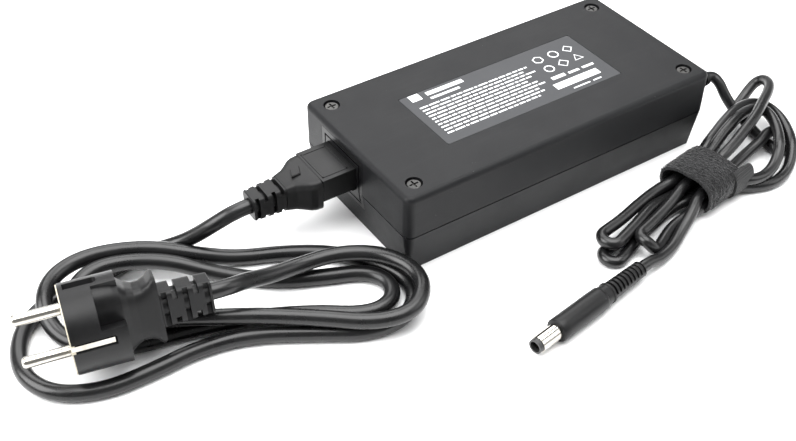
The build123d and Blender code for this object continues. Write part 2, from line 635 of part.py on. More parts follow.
def make_dc_grip():
    """The plug's round grip, with a collar where the boot begins."""
    start = TIP_LENGTH + BARREL_LENGTH
    grip = bar(start, 0, 0, DC_GRIP_RADIUS, DC_GRIP_LENGTH)
    grip = fillet(grip.edges().sort_by(Axis.X)[0], 0.8)
    neck = bar(start + DC_GRIP_LENGTH, 0, 0, DC_GRIP_RADIUS - 0.7, DC_COLLAR_LENGTH)
    return dc_place() * (grip + neck - bar(start - 1, 0, 0, BARREL_RADIUS - BARREL_STEP, 1 + BARREL_ROOT))


def make_dc_boot():
    """The plug's ribbed strain relief."""
    start = TIP_LENGTH + BARREL_LENGTH + DC_GRIP_LENGTH + DC_COLLAR_LENGTH
    boot = bar(start, 0, 0, DC_BOOT_RADIUS, DC_BOOT_LENGTH)
    for i in range(8):
        x = start + 2 + i * (DC_BOOT_LENGTH - 3) / 8
        for side in (-1, 1):
            boot -= Pos(x, side * DC_BOOT_RADIUS, 0) * Box(1.1, 2.6, 5.0)
    return dc_place() * boot


def dc_cord_joint():
    """Where the output cord meets the plug's boot, and one point further along the plug's axis."""
    reach = TIP_LENGTH + BARREL_LENGTH + DC_GRIP_LENGTH + DC_COLLAR_LENGTH + DC_BOOT_LENGTH
    turn = radians(DC_TURN)
    return [(DC_TIP[0] + r * cos(turn), DC_TIP[1] + r * sin(turn), DC_GRIP_RADIUS)
            for r in (reach + 6, reach)]


# ---- inside the case ----
def coil_row():
    """The middles in X of the filter choke, main choke, transformer, output sink and output cans."""
    inner_end = END_RIGHT - CASE_WALL - CASE_INSET
    choke = 1.5 * FILTER_RADIUS + FILTER_RADIUS / 2 + 2 * COIL_WALL
    sink = OUTPUT_SINK_SIZE[0] + 2 * RECTIFIER_SIZE[0]
    return spread(LEADS_FOOT_X + LEAD_RADIUS, inner_end,
                  [choke, CHOKE_CORE_SIZE[0], TRANSFORMER_SIZE[0], sink, 2 * OUTPUT_CAN_RADIUS])


def centre_row():
    """The middles in X of the film capacitor and the primary heatsink."""
    end = coil_row()[3] - OUTPUT_SINK_SIZE[0] / 2
    return spread(LEADS_FOOT_X + LEAD_RADIUS, end, [X_CAPACITOR_SIZE[0], PRIMARY_SINK_SIZE[0]])


def bulk_row():
    """The middles in X of the fuse, controller board, disc capacitors and smoothing capacitor."""
    start = END_LEFT + CASE_WALL + CASE_INSET
    return spread(start, OUTPUT_LEAD_X - LEAD_RADIUS,
                  [FUSE_LENGTH, CONTROLLER_SIZE[0], 2 * DISC_RADIUS, BULK_LENGTH])


def on_board(x, y, size, lift=0.0):
    """A box of the given size that stands on the board, or above it by lift."""
    return block(x, y, BOARD_TOP + lift, *size)


def board_outline(margin):
    """The board's flat outline drawn in by margin, notched round the screw bosses."""
    length = INNER_LENGTH - 2 * CASE_INSET - 2 * BOARD_MARGIN - 2 * margin
    width = INNER_WIDTH - 2 * CASE_INSET - 2 * BOARD_MARGIN - 2 * margin
    notches = [Pos(x, y) * Circle(BOSS_RADIUS + BOARD_NOTCH) for x, y in corner_places()]
    return Rectangle(length, width) - notches


def make_main_board():
    """The circuit board."""
    return Pos(0, 0, BOARD_HEIGHT) * extrude(board_outline(0), BOARD_THICKNESS)


def make_lower_sheet():
    """The insulating sheet between the board and the lower shell."""
    return Pos(0, 0, BOARD_HEIGHT - SHEET_THICKNESS) * extrude(board_outline(SHEET_MARGIN), SHEET_THICKNESS)


def make_upper_sheet():
    """The insulating sheet under the lid."""
    middle = (SHIELD_START + SHIELD_END) / 2
    return block(middle, 0, SHIELD_TOP + PART_GAP, SHIELD_END - SHIELD_START, SHIELD_WIDTH, SHEET_THICKNESS)


def make_heat_shield():
    """The aluminium shield over the board: a top plate with two side plates."""
    foot = BOARD_TOP + SHIELD_LIFT
    middle = (SHIELD_START + SHIELD_END) / 2
    length = SHIELD_END - SHIELD_START
    inside = block(middle, 0, foot - 1, length + 2, SHIELD_WIDTH - 2 * SHIELD_THICKNESS,
                   SHIELD_TOP - foot + 1 - SHIELD_THICKNESS)
    return block(middle, 0, foot, length, SHIELD_WIDTH, SHIELD_TOP - foot) - inside


def make_fuse():
    """The mains fuse: a tube in its sleeve, lying along X."""
    start = bulk_row()[0] - FUSE_LENGTH / 2
    return bar(start, BULK_ROW_Y, BOARD_TOP + FUSE_RADIUS, FUSE_RADIUS, FUSE_LENGTH)


def filter_place():
    """The filter choke's frame: its ring stands on edge, with its axis along Y."""
    return Pos(coil_row()[0], COIL_ROW_Y, BOARD_TOP + FILTER_RADIUS + COIL_WALL) * Rot(X=90)


def make_filter_core():
    """The ring core of the mains filter choke."""
    ring = Cylinder(FILTER_RADIUS, FILTER_THICKNESS) - Cylinder(FILTER_RADIUS / 2, FILTER_THICKNESS + 1)
    return filter_place() * ring


def make_filter_winding():
    """The two windings round the filter choke's ring, as one sleeve on each side."""
    depth = FILTER_THICKNESS + 2 * COIL_WALL
    room = Cylinder(FILTER_RADIUS + PART_GAP, FILTER_THICKNESS + 2 * PART_GAP)
    room -= Cylinder(FILTER_RADIUS / 2 - PART_GAP, FILTER_THICKNESS + 1)
    solids = []
    for side in (-1, 1):
        sleeve = Box(FILTER_RADIUS / 2 + 2 * COIL_WALL, FILTER_WRAP_HEIGHT, depth)
        half = Pos(side * FILTER_RADIUS * 0.75, 0, 0) * sleeve - room
        solids.extend((filter_place() * half).solids())
    return Compound(children=solids)


def make_x_capacitor():
    """The film capacitor across the mains."""
    return fillet(on_board(centre_row()[0], CENTRE_ROW_Y, X_CAPACITOR_SIZE).edges().filter_by(Axis.Z), 1)


def make_y_capacitors():
    """Two disc capacitors from the mains to earth."""
    disc = Rot(X=90) * Cylinder(DISC_RADIUS, DISC_THICKNESS)
    height = BOARD_TOP + DISC_RADIUS + PART_GAP
    return Compound(children=[
        Pos(bulk_row()[2], BULK_ROW_Y + side * 2 * DISC_THICKNESS, height) * disc for side in (-1, 1)])


def make_bridge_rectifier():
    """The flat bridge rectifier, bolted to the primary heatsink."""
    y = CENTRE_ROW_Y - PRIMARY_SINK_SIZE[1] / 2 - BRIDGE_SIZE[1] / 2
    return on_board(centre_row()[1] - BRIDGE_SIZE[0], y, BRIDGE_SIZE)


def make_choke_core():
    """The core of the power-factor choke: a waist between two yokes."""
    x = coil_row()[1]
    length, width, height = CHOKE_CORE_SIZE
    yoke = (length, width, CHOKE_YOKE)
    waist = (length - 2 * CHOKE_WRAP, width, height)
    core = on_board(x, COIL_ROW_Y, yoke) + on_board(x, COIL_ROW_Y, yoke, height - CHOKE_YOKE)
    return core + on_board(x, COIL_ROW_Y, waist)


def make_choke_winding():
    """The winding round the power-factor choke's core."""
    x = coil_row()[1]
    length, width, height = CHOKE_CORE_SIZE
    wound = height - 2 * CHOKE_YOKE - 2 * PART_GAP
    outer = on_board(x, COIL_ROW_Y, (length, width + 2 * CHOKE_WRAP, wound), CHOKE_YOKE + PART_GAP)
    bore = (length - 2 * CHOKE_WRAP + 2 * PART_GAP, width + 2 * PART_GAP, height + 1)
    return outer - on_board(x, COIL_ROW_Y, bore)


def make_bulk_capacitor():
    """The large smoothing capacitor, lying along X."""
    start = bulk_row()[3] - BULK_LENGTH / 2
    can = bar(start, BULK_ROW_Y, BOARD_TOP + BULK_RADIUS, BULK_RADIUS, BULK_LENGTH)
    return fillet(can.edges().filter_by(GeomType.CIRCLE), 1.2)


def make_primary_heatsink():
    """The heatsink of the mains side: an upright plate with a foot."""
    x = centre_row()[1]
    foot = (PRIMARY_SINK_SIZE[0], *SINK_FOOT)
    plate = on_board(x, CENTRE_ROW_Y, PRIMARY_SINK_SIZE)
    return plate + on_board(x, CENTRE_ROW_Y + SINK_FOOT[0] / 2 - PRIMARY_SINK_SIZE[1] / 2, foot)


def make_switching_transistors():
    """Two power transistors on the primary heatsink."""
    y = CENTRE_ROW_Y - PRIMARY_SINK_SIZE[1] / 2 - TRANSISTOR_SIZE[1] / 2
    x = centre_row()[1]
    return Compound(children=[
        on_board(x + step * TRANSISTOR_SIZE[0], y, TRANSISTOR_SIZE, TAB_LIFT) for step in (0.3, 2)])


def make_transformer_core():
    """The transformer's core: a round centre post, two end plates and two outer legs."""
    x = coil_row()[2]
    length, width, height = TRANSFORMER_SIZE
    plate = (length, TRANSFORMER_LEG, height)
    leg = (TRANSFORMER_LEG, width, height)
    core = Pos(x, COIL_ROW_Y, BOARD_TOP + height / 2) * Rot(X=90) * Cylinder(TRANSFORMER_POST_RADIUS, width)
    for side in (-1, 1):
        core += on_board(x, COIL_ROW_Y + side * (width - TRANSFORMER_LEG) / 2, plate)
        core += on_board(x + side * (length - TRANSFORMER_LEG) / 2, COIL_ROW_Y, leg)
    return core


def make_transformer_winding():
    """The transformer's winding round its centre post."""
    length, width, height = TRANSFORMER_SIZE
    wound = width - 2 * TRANSFORMER_LEG - 2 * PART_GAP
    coil = Cylinder(TRANSFORMER_WIRE_RADIUS, wound)
    coil -= Cylinder(TRANSFORMER_POST_RADIUS + PART_GAP, wound + 1)
    return Pos(coil_row()[2], COIL_ROW_Y, BOARD_TOP + height / 2) * Rot(X=90) * coil


def make_output_heatsink():
    """The heatsink of the output side."""
    return on_board(coil_row()[3], OUTPUT_ROW_Y, OUTPUT_SINK_SIZE)


def make_output_rectifiers():
    """Two rectifiers on the output heatsink."""
    x = coil_row()[3] + OUTPUT_SINK_SIZE[0] / 2 + RECTIFIER_SIZE[0] / 2
    places = [OUTPUT_ROW_Y + side * RECTIFIER_PITCH / 2 for side in (-1, 1)]
    return Compound(children=[on_board(x, y, RECTIFIER_SIZE, TAB_LIFT) for y in places])


def make_output_capacitors():
    """Three upright smoothing capacitors at the output."""
    cans = []
    for step in (-1, 0, 1):
        can = post(coil_row()[4], OUTPUT_ROW_Y + step * OUTPUT_CAN_PITCH, BOARD_TOP,
                   OUTPUT_CAN_RADIUS, OUTPUT_CAN_HEIGHT)
        cans.append(fillet(can.faces().sort_by(Axis.Z)[-1].edges(), 0.8))
    return Compound(children=cans)


def make_controller_board():
    """The small upright board that carries the controller."""
    return on_board(bulk_row()[1], BULK_ROW_Y, CONTROLLER_SIZE)


def make_output_ferrite():
    """The ring of ferrite round the output leads."""
    outer, bore, length = FERRITE_SIZE
    ring = Cylinder(outer, length) - Cylinder(bore, length + 1)
    return Pos(END_RIGHT - FERRITE_INSET, BUSHING_Y, BUSHING_Z) * Rot(Y=90) * ring


def make_output_leads():
    """Two insulated leads from the board up to the output bushing."""
    leads = []
    for side in (-1, 1):
        y = BUSHING_Y + side * (LEAD_RADIUS + PART_GAP)
        bend = (OUTPUT_LEAD_X, y, BUSHING_Z)
        points = [(OUTPUT_LEAD_X, y, BOARD_TOP), bend, (BUSHING_INNER, y, BUSHING_Z)]
        path = FilletPolyline(*points, radius=2 * LEAD_BEND)
        start = Plane(origin=points[0], z_dir=(0, 0, 1))
        leads.append(sweep(start * Circle(LEAD_RADIUS), path=path))
    return Compound(children=leads)


def make_input_leads():
    """Three insulated leads from the inlet's tails down to the board."""
    leads = []
    for y, z in pin_places():
        points = [(LEADS_FOOT_X - LEAD_REACH, y, z), (LEADS_FOOT_X, y, z), (LEADS_FOOT_X, y, BOARD_TOP)]
        path = FilletPolyline(*points, radius=LEAD_BEND)
        start = Plane(origin=points[0], z_dir=(1, 0, 0))
        leads.append(sweep(start * Circle(LEAD_RADIUS), path=path))
    return Compound(children=leads)


# ---- write every piece ----
PIECES = {
    "top_shell": make_top_shell,
    "bottom_shell": make_bottom_shell,
    "case_screws": make_screws,
    "rating_label": make_label,
    "inlet_housing": make_inlet_housing,
    "inlet_line_pin": lambda: make_inlet_pin(pin_places()[0]),
    "inlet_neutral_pin": lambda: make_inlet_pin(pin_places()[1]),
    "inlet_earth_pin": lambda: make_inlet_pin(pin_places()[2]),
    "main_board": make_main_board,
    "lower_insulator": make_lower_sheet,
    "upper_insulator": make_upper_sheet,
    "heat_shield": make_heat_shield,
    "input_leads": make_input_leads,
    "fuse": make_fuse,
    "filter_choke_core": make_filter_core,
    "filter_choke_winding": make_filter_winding,
    "x_capacitor": make_x_capacitor,
    "y_capacitors": make_y_capacitors,
    "bridge_rectifier": make_bridge_rectifier,
    "pfc_choke_core": make_choke_core,
    "pfc_choke_winding": make_choke_winding,
    "bulk_capacitor": make_bulk_capacitor,
    "primary_heatsink": make_primary_heatsink,
    "switching_transistors": make_switching_transistors,
    "controller_board": make_controller_board,
    "transformer_core": make_transformer_core,
    "transformer_winding": make_transformer_winding,
    "output_heatsink": make_output_heatsink,
    "output_rectifiers": make_output_rectifiers,
    "output_capacitors": make_output_capacitors,
    "output_ferrite": make_output_ferrite,
    "output_leads": make_output_leads,
    "output_bushing": make_output_bushing,
    "dc_exit_cord": lambda: cord_tube("dc_exit_cord", DC_EXIT_ROUTE, DC_DIAMETER),
    "dc_hank": make_dc_hank,
    "dc_tail_cord": lambda: cord_tube("dc_tail_cord", DC_TAIL_ROUTE + dc_cord_joint(), DC_DIAMETER),
    "cable_tie": make_cable_tie,
    "cable_tie_tab": make_tie_tab,
    "dc_plug_boot": make_dc_boot,
    "dc_plug_grip": make_dc_grip,
    "dc_plug_barrel": make_dc_barrel,
    "dc_plug_tip": make_dc_tip,
    "dc_plug_center_pin": make_dc_center_pin,
    "c13_insert": make_c13_insert,
    "c13_contacts": make_c13_contacts,
    "c13_grip": make_c13_grip,
    "mains_cord": lambda: cord_tube("mains_cord", MAINS_ROUTE + plug_cord_joint(), MAINS_DIAMETER),
    "wall_plug_body": make_plug_body,
    "wall_plug_face": make_plug_face,
    "wall_plug_pin_upper": lambda: make_plug_pin(1),
    "wall_plug_pin_lower": lambda: make_plug_pin(-1),
    "wall_plug_earth_clips": make_earth_clips,
}

os.makedirs("parts", exist_ok=True)
for name, make in PIECES.items():
    export_step(make(), f"parts/{name}.step")
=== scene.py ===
"""Laptop power adapter with its mains lead and its wound output lead.

Metres, +Z up. The origin is on the floor under the middle of the case, the mains inlet is at the -X
end and the output lead leaves at the +X end. Each sub-assembly is a class that builds its surfaces
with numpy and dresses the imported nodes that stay.
"""

from __future__ import annotations

import json
import logging
import math
import sys
from dataclasses import dataclass, field
from enum import Enum

import bpy
import numpy as np
from mathutils import Matrix, Vector
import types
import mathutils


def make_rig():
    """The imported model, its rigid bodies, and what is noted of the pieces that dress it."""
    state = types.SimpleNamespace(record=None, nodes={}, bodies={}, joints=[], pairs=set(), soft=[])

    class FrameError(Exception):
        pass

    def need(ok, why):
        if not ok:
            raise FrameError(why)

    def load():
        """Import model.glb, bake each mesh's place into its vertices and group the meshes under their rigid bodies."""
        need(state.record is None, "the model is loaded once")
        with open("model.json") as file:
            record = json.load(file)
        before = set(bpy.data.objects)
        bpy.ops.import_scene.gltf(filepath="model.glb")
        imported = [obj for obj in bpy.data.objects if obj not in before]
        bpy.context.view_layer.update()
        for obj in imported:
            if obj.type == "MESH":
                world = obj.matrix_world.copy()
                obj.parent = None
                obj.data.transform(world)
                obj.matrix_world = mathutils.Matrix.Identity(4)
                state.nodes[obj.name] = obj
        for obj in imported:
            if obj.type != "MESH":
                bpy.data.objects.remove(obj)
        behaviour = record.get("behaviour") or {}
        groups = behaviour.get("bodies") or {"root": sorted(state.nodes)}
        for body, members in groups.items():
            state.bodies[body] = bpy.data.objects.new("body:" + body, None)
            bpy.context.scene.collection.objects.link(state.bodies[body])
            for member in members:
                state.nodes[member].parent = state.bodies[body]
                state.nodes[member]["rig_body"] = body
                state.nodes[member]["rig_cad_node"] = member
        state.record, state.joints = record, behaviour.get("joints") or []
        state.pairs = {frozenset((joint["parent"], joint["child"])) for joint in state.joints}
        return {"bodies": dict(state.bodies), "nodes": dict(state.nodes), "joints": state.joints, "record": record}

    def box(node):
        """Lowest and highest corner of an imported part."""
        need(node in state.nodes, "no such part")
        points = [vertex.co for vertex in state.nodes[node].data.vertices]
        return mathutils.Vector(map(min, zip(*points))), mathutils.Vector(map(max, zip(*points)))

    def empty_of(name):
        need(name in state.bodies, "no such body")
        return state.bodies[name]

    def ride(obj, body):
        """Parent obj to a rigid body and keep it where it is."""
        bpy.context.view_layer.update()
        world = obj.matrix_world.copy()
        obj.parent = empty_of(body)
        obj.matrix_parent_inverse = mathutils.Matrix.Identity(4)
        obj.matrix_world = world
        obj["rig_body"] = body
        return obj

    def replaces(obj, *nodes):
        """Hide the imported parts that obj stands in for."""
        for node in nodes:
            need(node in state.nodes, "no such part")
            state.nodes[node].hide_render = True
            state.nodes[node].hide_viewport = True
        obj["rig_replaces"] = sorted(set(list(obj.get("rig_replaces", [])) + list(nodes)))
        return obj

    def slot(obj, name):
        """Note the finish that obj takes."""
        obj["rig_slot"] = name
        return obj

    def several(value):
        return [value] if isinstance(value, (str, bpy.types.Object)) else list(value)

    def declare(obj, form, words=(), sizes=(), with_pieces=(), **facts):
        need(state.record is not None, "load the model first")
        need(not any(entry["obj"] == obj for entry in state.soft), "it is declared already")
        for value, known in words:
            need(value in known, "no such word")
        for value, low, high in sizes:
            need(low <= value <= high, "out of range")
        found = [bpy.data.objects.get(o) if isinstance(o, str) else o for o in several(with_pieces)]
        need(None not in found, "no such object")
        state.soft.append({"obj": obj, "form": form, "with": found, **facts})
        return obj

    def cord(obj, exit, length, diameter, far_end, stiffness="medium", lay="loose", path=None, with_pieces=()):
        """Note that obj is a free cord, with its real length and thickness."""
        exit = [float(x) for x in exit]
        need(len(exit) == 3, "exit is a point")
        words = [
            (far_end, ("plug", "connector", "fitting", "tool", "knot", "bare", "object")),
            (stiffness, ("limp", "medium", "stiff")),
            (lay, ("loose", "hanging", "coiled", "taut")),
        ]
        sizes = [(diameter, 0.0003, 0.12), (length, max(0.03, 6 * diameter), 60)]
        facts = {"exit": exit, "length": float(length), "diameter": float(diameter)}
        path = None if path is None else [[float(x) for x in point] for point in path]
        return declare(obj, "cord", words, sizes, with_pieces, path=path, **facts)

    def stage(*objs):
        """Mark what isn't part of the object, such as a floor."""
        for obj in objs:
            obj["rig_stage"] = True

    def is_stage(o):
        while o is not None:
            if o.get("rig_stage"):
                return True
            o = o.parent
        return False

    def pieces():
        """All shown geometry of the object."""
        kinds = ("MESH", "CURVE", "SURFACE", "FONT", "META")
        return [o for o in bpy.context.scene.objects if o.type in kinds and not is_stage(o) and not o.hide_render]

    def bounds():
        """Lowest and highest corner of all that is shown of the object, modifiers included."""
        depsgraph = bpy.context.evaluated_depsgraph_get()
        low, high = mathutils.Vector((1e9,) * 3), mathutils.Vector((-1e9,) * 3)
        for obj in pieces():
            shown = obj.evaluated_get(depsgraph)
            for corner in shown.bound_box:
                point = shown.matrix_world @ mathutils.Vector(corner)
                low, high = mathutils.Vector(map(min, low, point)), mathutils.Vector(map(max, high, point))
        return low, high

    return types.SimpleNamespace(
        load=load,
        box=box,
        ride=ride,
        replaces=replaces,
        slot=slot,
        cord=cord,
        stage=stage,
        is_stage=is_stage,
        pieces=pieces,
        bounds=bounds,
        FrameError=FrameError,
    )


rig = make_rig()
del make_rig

MM = 0.001
ADAPTER = "adapter"
MAINS_LEAD = "mains_lead"
LOG = logging.getLogger("adapter")
Shelf = dict[str, bpy.types.Material]
Triple = tuple[float, float, float]
Faces = list[tuple[int, ...]]
Tree = bpy.types.NodeTree
Piece = bpy.types.Object


# ---- shader node groups ----
def node(tree: Tree, kind: str, **settings: object) -> bpy.types.Node:
    """Adds one shader node.

    Args:
        tree: the node tree that takes it.
        kind: the node's type name.
        settings: node attributes, or socket values where the name starts with "in_".

    Returns:
        The new node.
    """
    made = tree.nodes.new(kind)
    for key, value in settings.items():
        if key.startswith("in_"):
            made.inputs[key[3:].replace("_", " ")].default_value = value
        else:
            setattr(made, key, value)
    return made


def group_tree(name: str, inputs: dict[str, float], outputs: list[str]) -> Tree:
    """Makes an empty shader group.

    Args:
        name: the group's name.
        inputs: each float input and its default.
        outputs: the float outputs.

    Returns:
        The group's tree, with its input and output nodes named "in" and "out".
    """
    tree = bpy.data.node_groups.new(name, "ShaderNodeTree")
    for key, value in inputs.items():
        socket = tree.interface.new_socket(name=key, in_out="INPUT", socket_type="NodeSocketFloat")
        socket.default_value = value
    for key in outputs:
        tree.interface.new_socket(name=key, in_out="OUTPUT", socket_type="NodeSocketFloat")
    tree.nodes.new("NodeGroupInput").name = "in"
    tree.nodes.new("NodeGroupOutput").name = "out"
    return tree


def grain_group() -> Tree:
    """Builds the moulded grain: fine noise for height, and slow blotches from handling."""
    tree = group_tree("moulded_grain", {"Grain Scale": 2600.0, "Blotch Scale": 45.0}, ["Height", "Blotch"])
    ends = tree.nodes
    place = node(tree, "ShaderNodeTexCoord")
    fine = node(tree, "ShaderNodeTexNoise", in_Detail=2.0, in_Roughness=0.6)
    slow = node(tree, "ShaderNodeTexNoise", in_Detail=4.0, in_Roughness=0.65)
    for texture, scale in ((fine, "Grain Scale"), (slow, "Blotch Scale")):
        tree.links.new(place.outputs["Object"], texture.inputs["Vector"])
        tree.links.new(ends["in"].outputs[scale], texture.inputs["Scale"])
    tree.links.new(fine.outputs["Fac"], ends["out"].inputs["Height"])
    tree.links.new(slow.outputs["Fac"], ends["out"].inputs["Blotch"])
    return tree


def lint_group() -> Tree:
    """Builds dust specks: the middles of a few random cells, thinned by a slow noise."""
    tree = group_tree("dust_specks", {"Speck Scale": 420.0, "Amount": 0.055}, ["Mask"])
    ends = tree.nodes
    place = node(tree, "ShaderNodeTexCoord")
    cells = node(tree, "ShaderNodeTexVoronoi", in_Randomness=1.0)
    gate = node(tree, "ShaderNodeTexNoise", in_Scale=130.0, in_Detail=1.0)
    near = node(tree, "ShaderNodeMath", operation="LESS_THAN")
    few = node(tree, "ShaderNodeMath", operation="GREATER_THAN")
    few.inputs[1].default_value = 0.62
    both = node(tree, "ShaderNodeMath", operation="MULTIPLY")
    tree.links.new(place.outputs["Object"], cells.inputs["Vector"])
    tree.links.new(place.outputs["Object"], gate.inputs["Vector"])
    tree.links.new(ends["in"].outputs["Speck Scale"], cells.inputs["Scale"])
    tree.links.new(cells.outputs["Distance"], near.inputs[0])
    tree.links.new(ends["in"].outputs["Amount"], near.inputs[1])
    tree.links.new(gate.outputs["Fac"], few.inputs[0])
    tree.links.new(near.outputs[0], both.inputs[0])
    tree.links.new(few.outputs[0], both.inputs[1])
    tree.links.new(both.outputs[0], ends["out"].inputs["Mask"])
    return tree


def rub_group() -> Tree:
    """Builds rubbed marks: long thin streaks of noise, as where a surface slides on another."""
    tree = group_tree("rub_marks", {"Streak Scale": 90.0}, ["Mask"])
    ends = tree.nodes
    place = node(tree, "ShaderNodeTexCoord")
    stretch = node(tree, "ShaderNodeMapping")
    stretch.inputs["Scale"].default_value = (0.25, 5.0, 1.0)
    streak = node(tree, "ShaderNodeTexNoise", in_Detail=3.0, in_Roughness=0.7)
    ramp = node(tree, "ShaderNodeMapRange")
    ramp.inputs["From Min"].default_value = 0.52
    ramp.inputs["From Max"].default_value = 0.74
    tree.links.new(place.outputs["Object"], stretch.inputs["Vector"])
    tree.links.new(stretch.outputs["Vector"], streak.inputs["Vector"])
    tree.links.new(ends["in"].outputs["Streak Scale"], streak.inputs["Scale"])
    tree.links.new(streak.outputs["Fac"], ramp.inputs["Value"])
    tree.links.new(ramp.outputs["Result"], ends["out"].inputs["Mask"])
    return tree


class Shared(Enum):
    """The node groups that the finishes share."""

    GRAIN = "moulded_grain"
    LINT = "dust_specks"
    RUB = "rub_marks"


def build_groups() -> None:
    """Builds every shared node group once."""
    grain_group()
    lint_group()
    rub_group()


# ---- finishes ----
@dataclass(frozen=True)
class Finish:
    """A surface finish: a base shader with grain, blotches, rub marks and dust.

    Sizes of pattern are in cells per metre, and bump distances are in metres.
    """

    name: str
    colour: Triple
    worn: Triple
    rough: tuple[float, float]
    metallic: float = 0.0
    specular: float = 0.5
    coat: float = 0.0
    sheen: float = 0.0
    grain_scale: float = 2600.0
    grain_depth: float = 0.00002
    blotch_scale: float = 45.0
    streak: float = 0.0
    dust: float = 0.0

    def link_group(self, tree: Tree, shared: Shared, **values: float) -> bpy.types.Node:
        """Places a shared group in the material.

        Args:
            tree: the material's tree.
            shared: which group.
            values: its input values, with "_" for spaces.

        Returns:
            The group node.
        """
        placed = tree.nodes.new("ShaderNodeGroup")
        placed.node_tree = bpy.data.node_groups[shared.value]
        for key, value in values.items():
            placed.inputs[key.replace("_", " ")].default_value = value
        return placed

    def mix(self, tree: Tree, low: object, high: object, mask: object) -> object:
        """Mixes two colours by a mask.

        Args:
            tree: the material's tree.
            low: the colour, or socket, where the mask is 0.
            high: the colour where the mask is 1.
            mask: the socket that gives the mask.

        Returns:
            The mixed colour's socket.
        """
        blend = node(tree, "ShaderNodeMix", data_type="RGBA")
        tree.links.new(mask, blend.inputs[0])
        for socket, value in ((blend.inputs[6], low), (blend.inputs[7], high)):
            if isinstance(value, tuple):
                socket.default_value = (*value, 1.0)
            else:
                tree.links.new(value, socket)
        return blend.outputs[2]

    def make(self) -> bpy.types.Material:
        """Builds the material.

        Returns:
            The finished material.
        """
        material = bpy.data.materials.new(self.name)
        material.use_nodes = True
        tree = material.node_tree
        shader = tree.nodes["Principled BSDF"]
        shader.inputs["Metallic"].default_value = self.metallic
        shader.inputs["Specular IOR Level"].default_value = self.specular
        shader.inputs["Coat Weight"].default_value = self.coat
        shader.inputs["Coat Roughness"].default_value = 0.25
        shader.inputs["Sheen Weight"].default_value = self.sheen
        grain = self.link_group(
            tree, Shared.GRAIN, Grain_Scale=self.grain_scale, Blotch_Scale=self.blotch_scale)
        spread = node(tree, "ShaderNodeMapRange")
        spread.inputs["From Min"].default_value = 0.35
        spread.inputs["From Max"].default_value = 0.68
        tree.links.new(grain.outputs["Blotch"], spread.inputs["Value"])
        colour = self.mix(tree, self.colour, self.worn, spread.outputs["Result"])
        if self.streak:
            colour = self.add_streaks(tree, colour)
        if self.dust:
            lint = self.link_group(tree, Shared.LINT, Amount=self.dust)
            colour = self.mix(tree, colour, (0.28, 0.28, 0.29), lint.outputs["Mask"])
        tree.links.new(colour, shader.inputs["Base Color"])
        rough = node(tree, "ShaderNodeMapRange")
        rough.inputs["To Min"].default_value = self.rough[0]
        rough.inputs["To Max"].default_value = self.rough[1]
        tree.links.new(spread.outputs["Result"], rough.inputs["Value"])
        tree.links.new(rough.outputs["Result"], shader.inputs["Roughness"])
        bump = node(tree, "ShaderNodeBump", in_Strength=0.6)
        bump.inputs["Distance"].default_value = self.grain_depth
        tree.links.new(self.height(tree, grain), bump.inputs["Height"])
        tree.links.new(bump.outputs["Normal"], shader.inputs["Normal"])
        return material

    def add_streaks(self, tree: Tree, colour: object) -> object:
        """Lays faint rub marks over a colour and returns the new colour's socket."""
        rub = self.link_group(tree, Shared.RUB)
        weak = node(tree, "ShaderNodeMath", operation="MULTIPLY")
        weak.inputs[1].default_value = self.streak
        tree.links.new(rub.outputs["Mask"], weak.inputs[0])
        pale = tuple(min(1.0, 2.6 * c + 0.01) for c in self.worn)
        return self.mix(tree, colour, pale, weak.outputs[0])

    def height(self, tree: Tree, grain: bpy.types.Node) -> object:
        """Returns the socket that the bump reads."""
        return grain.outputs["Height"]


@dataclass(frozen=True)
class LoopPile(Finish):
    """The fuzzy loops of the tie: a coarse tangle of noise over tiny cells."""

    pile_scale: float = 900.0

    def height(self, tree: Tree, grain: bpy.types.Node) -> object:
        """Adds small cells to the grain, for curled loops."""
        place = node(tree, "ShaderNodeTexCoord")
        cells = node(tree, "ShaderNodeTexVoronoi", in_Scale=self.pile_scale)
        add = node(tree, "ShaderNodeMath", operation="ADD")
        tree.links.new(place.outputs["Object"], cells.inputs["Vector"])
        tree.links.new(cells.outputs["Distance"], add.inputs[0])
        tree.links.new(grain.outputs["Height"], add.inputs[1])
        return add.outputs[0]


@dataclass(frozen=True)
class HookWeave(Finish):
    """The ribbed hook side of the tie: fine rows that follow the band's own map."""

    rows: float = 9.0
    stitches: float = 16.0

    def height(self, tree: Tree, grain: bpy.types.Node) -> object:
        """Multiplies two sets of waves across the band's UV map."""
        place = node(tree, "ShaderNodeUVMap")
        parts = node(tree, "ShaderNodeSeparateXYZ")
        tree.links.new(place.outputs["UV"], parts.inputs["Vector"])
        waves = []
        for axis, count in (("X", self.rows), ("Y", self.stitches)):
            turn = node(tree, "ShaderNodeMath", operation="MULTIPLY")
            turn.inputs[1].default_value = count * 2 * math.pi
            wave = node(tree, "ShaderNodeMath", operation="SINE")
            tree.links.new(parts.outputs[axis], turn.inputs[0])
            tree.links.new(turn.outputs[0], wave.inputs[0])
            waves.append(wave)
        product = node(tree, "ShaderNodeMath", operation="MULTIPLY")
        tree.links.new(waves[0].outputs[0], product.inputs[0])
        tree.links.new(waves[1].outputs[0], product.inputs[1])
        return product.outputs[0]


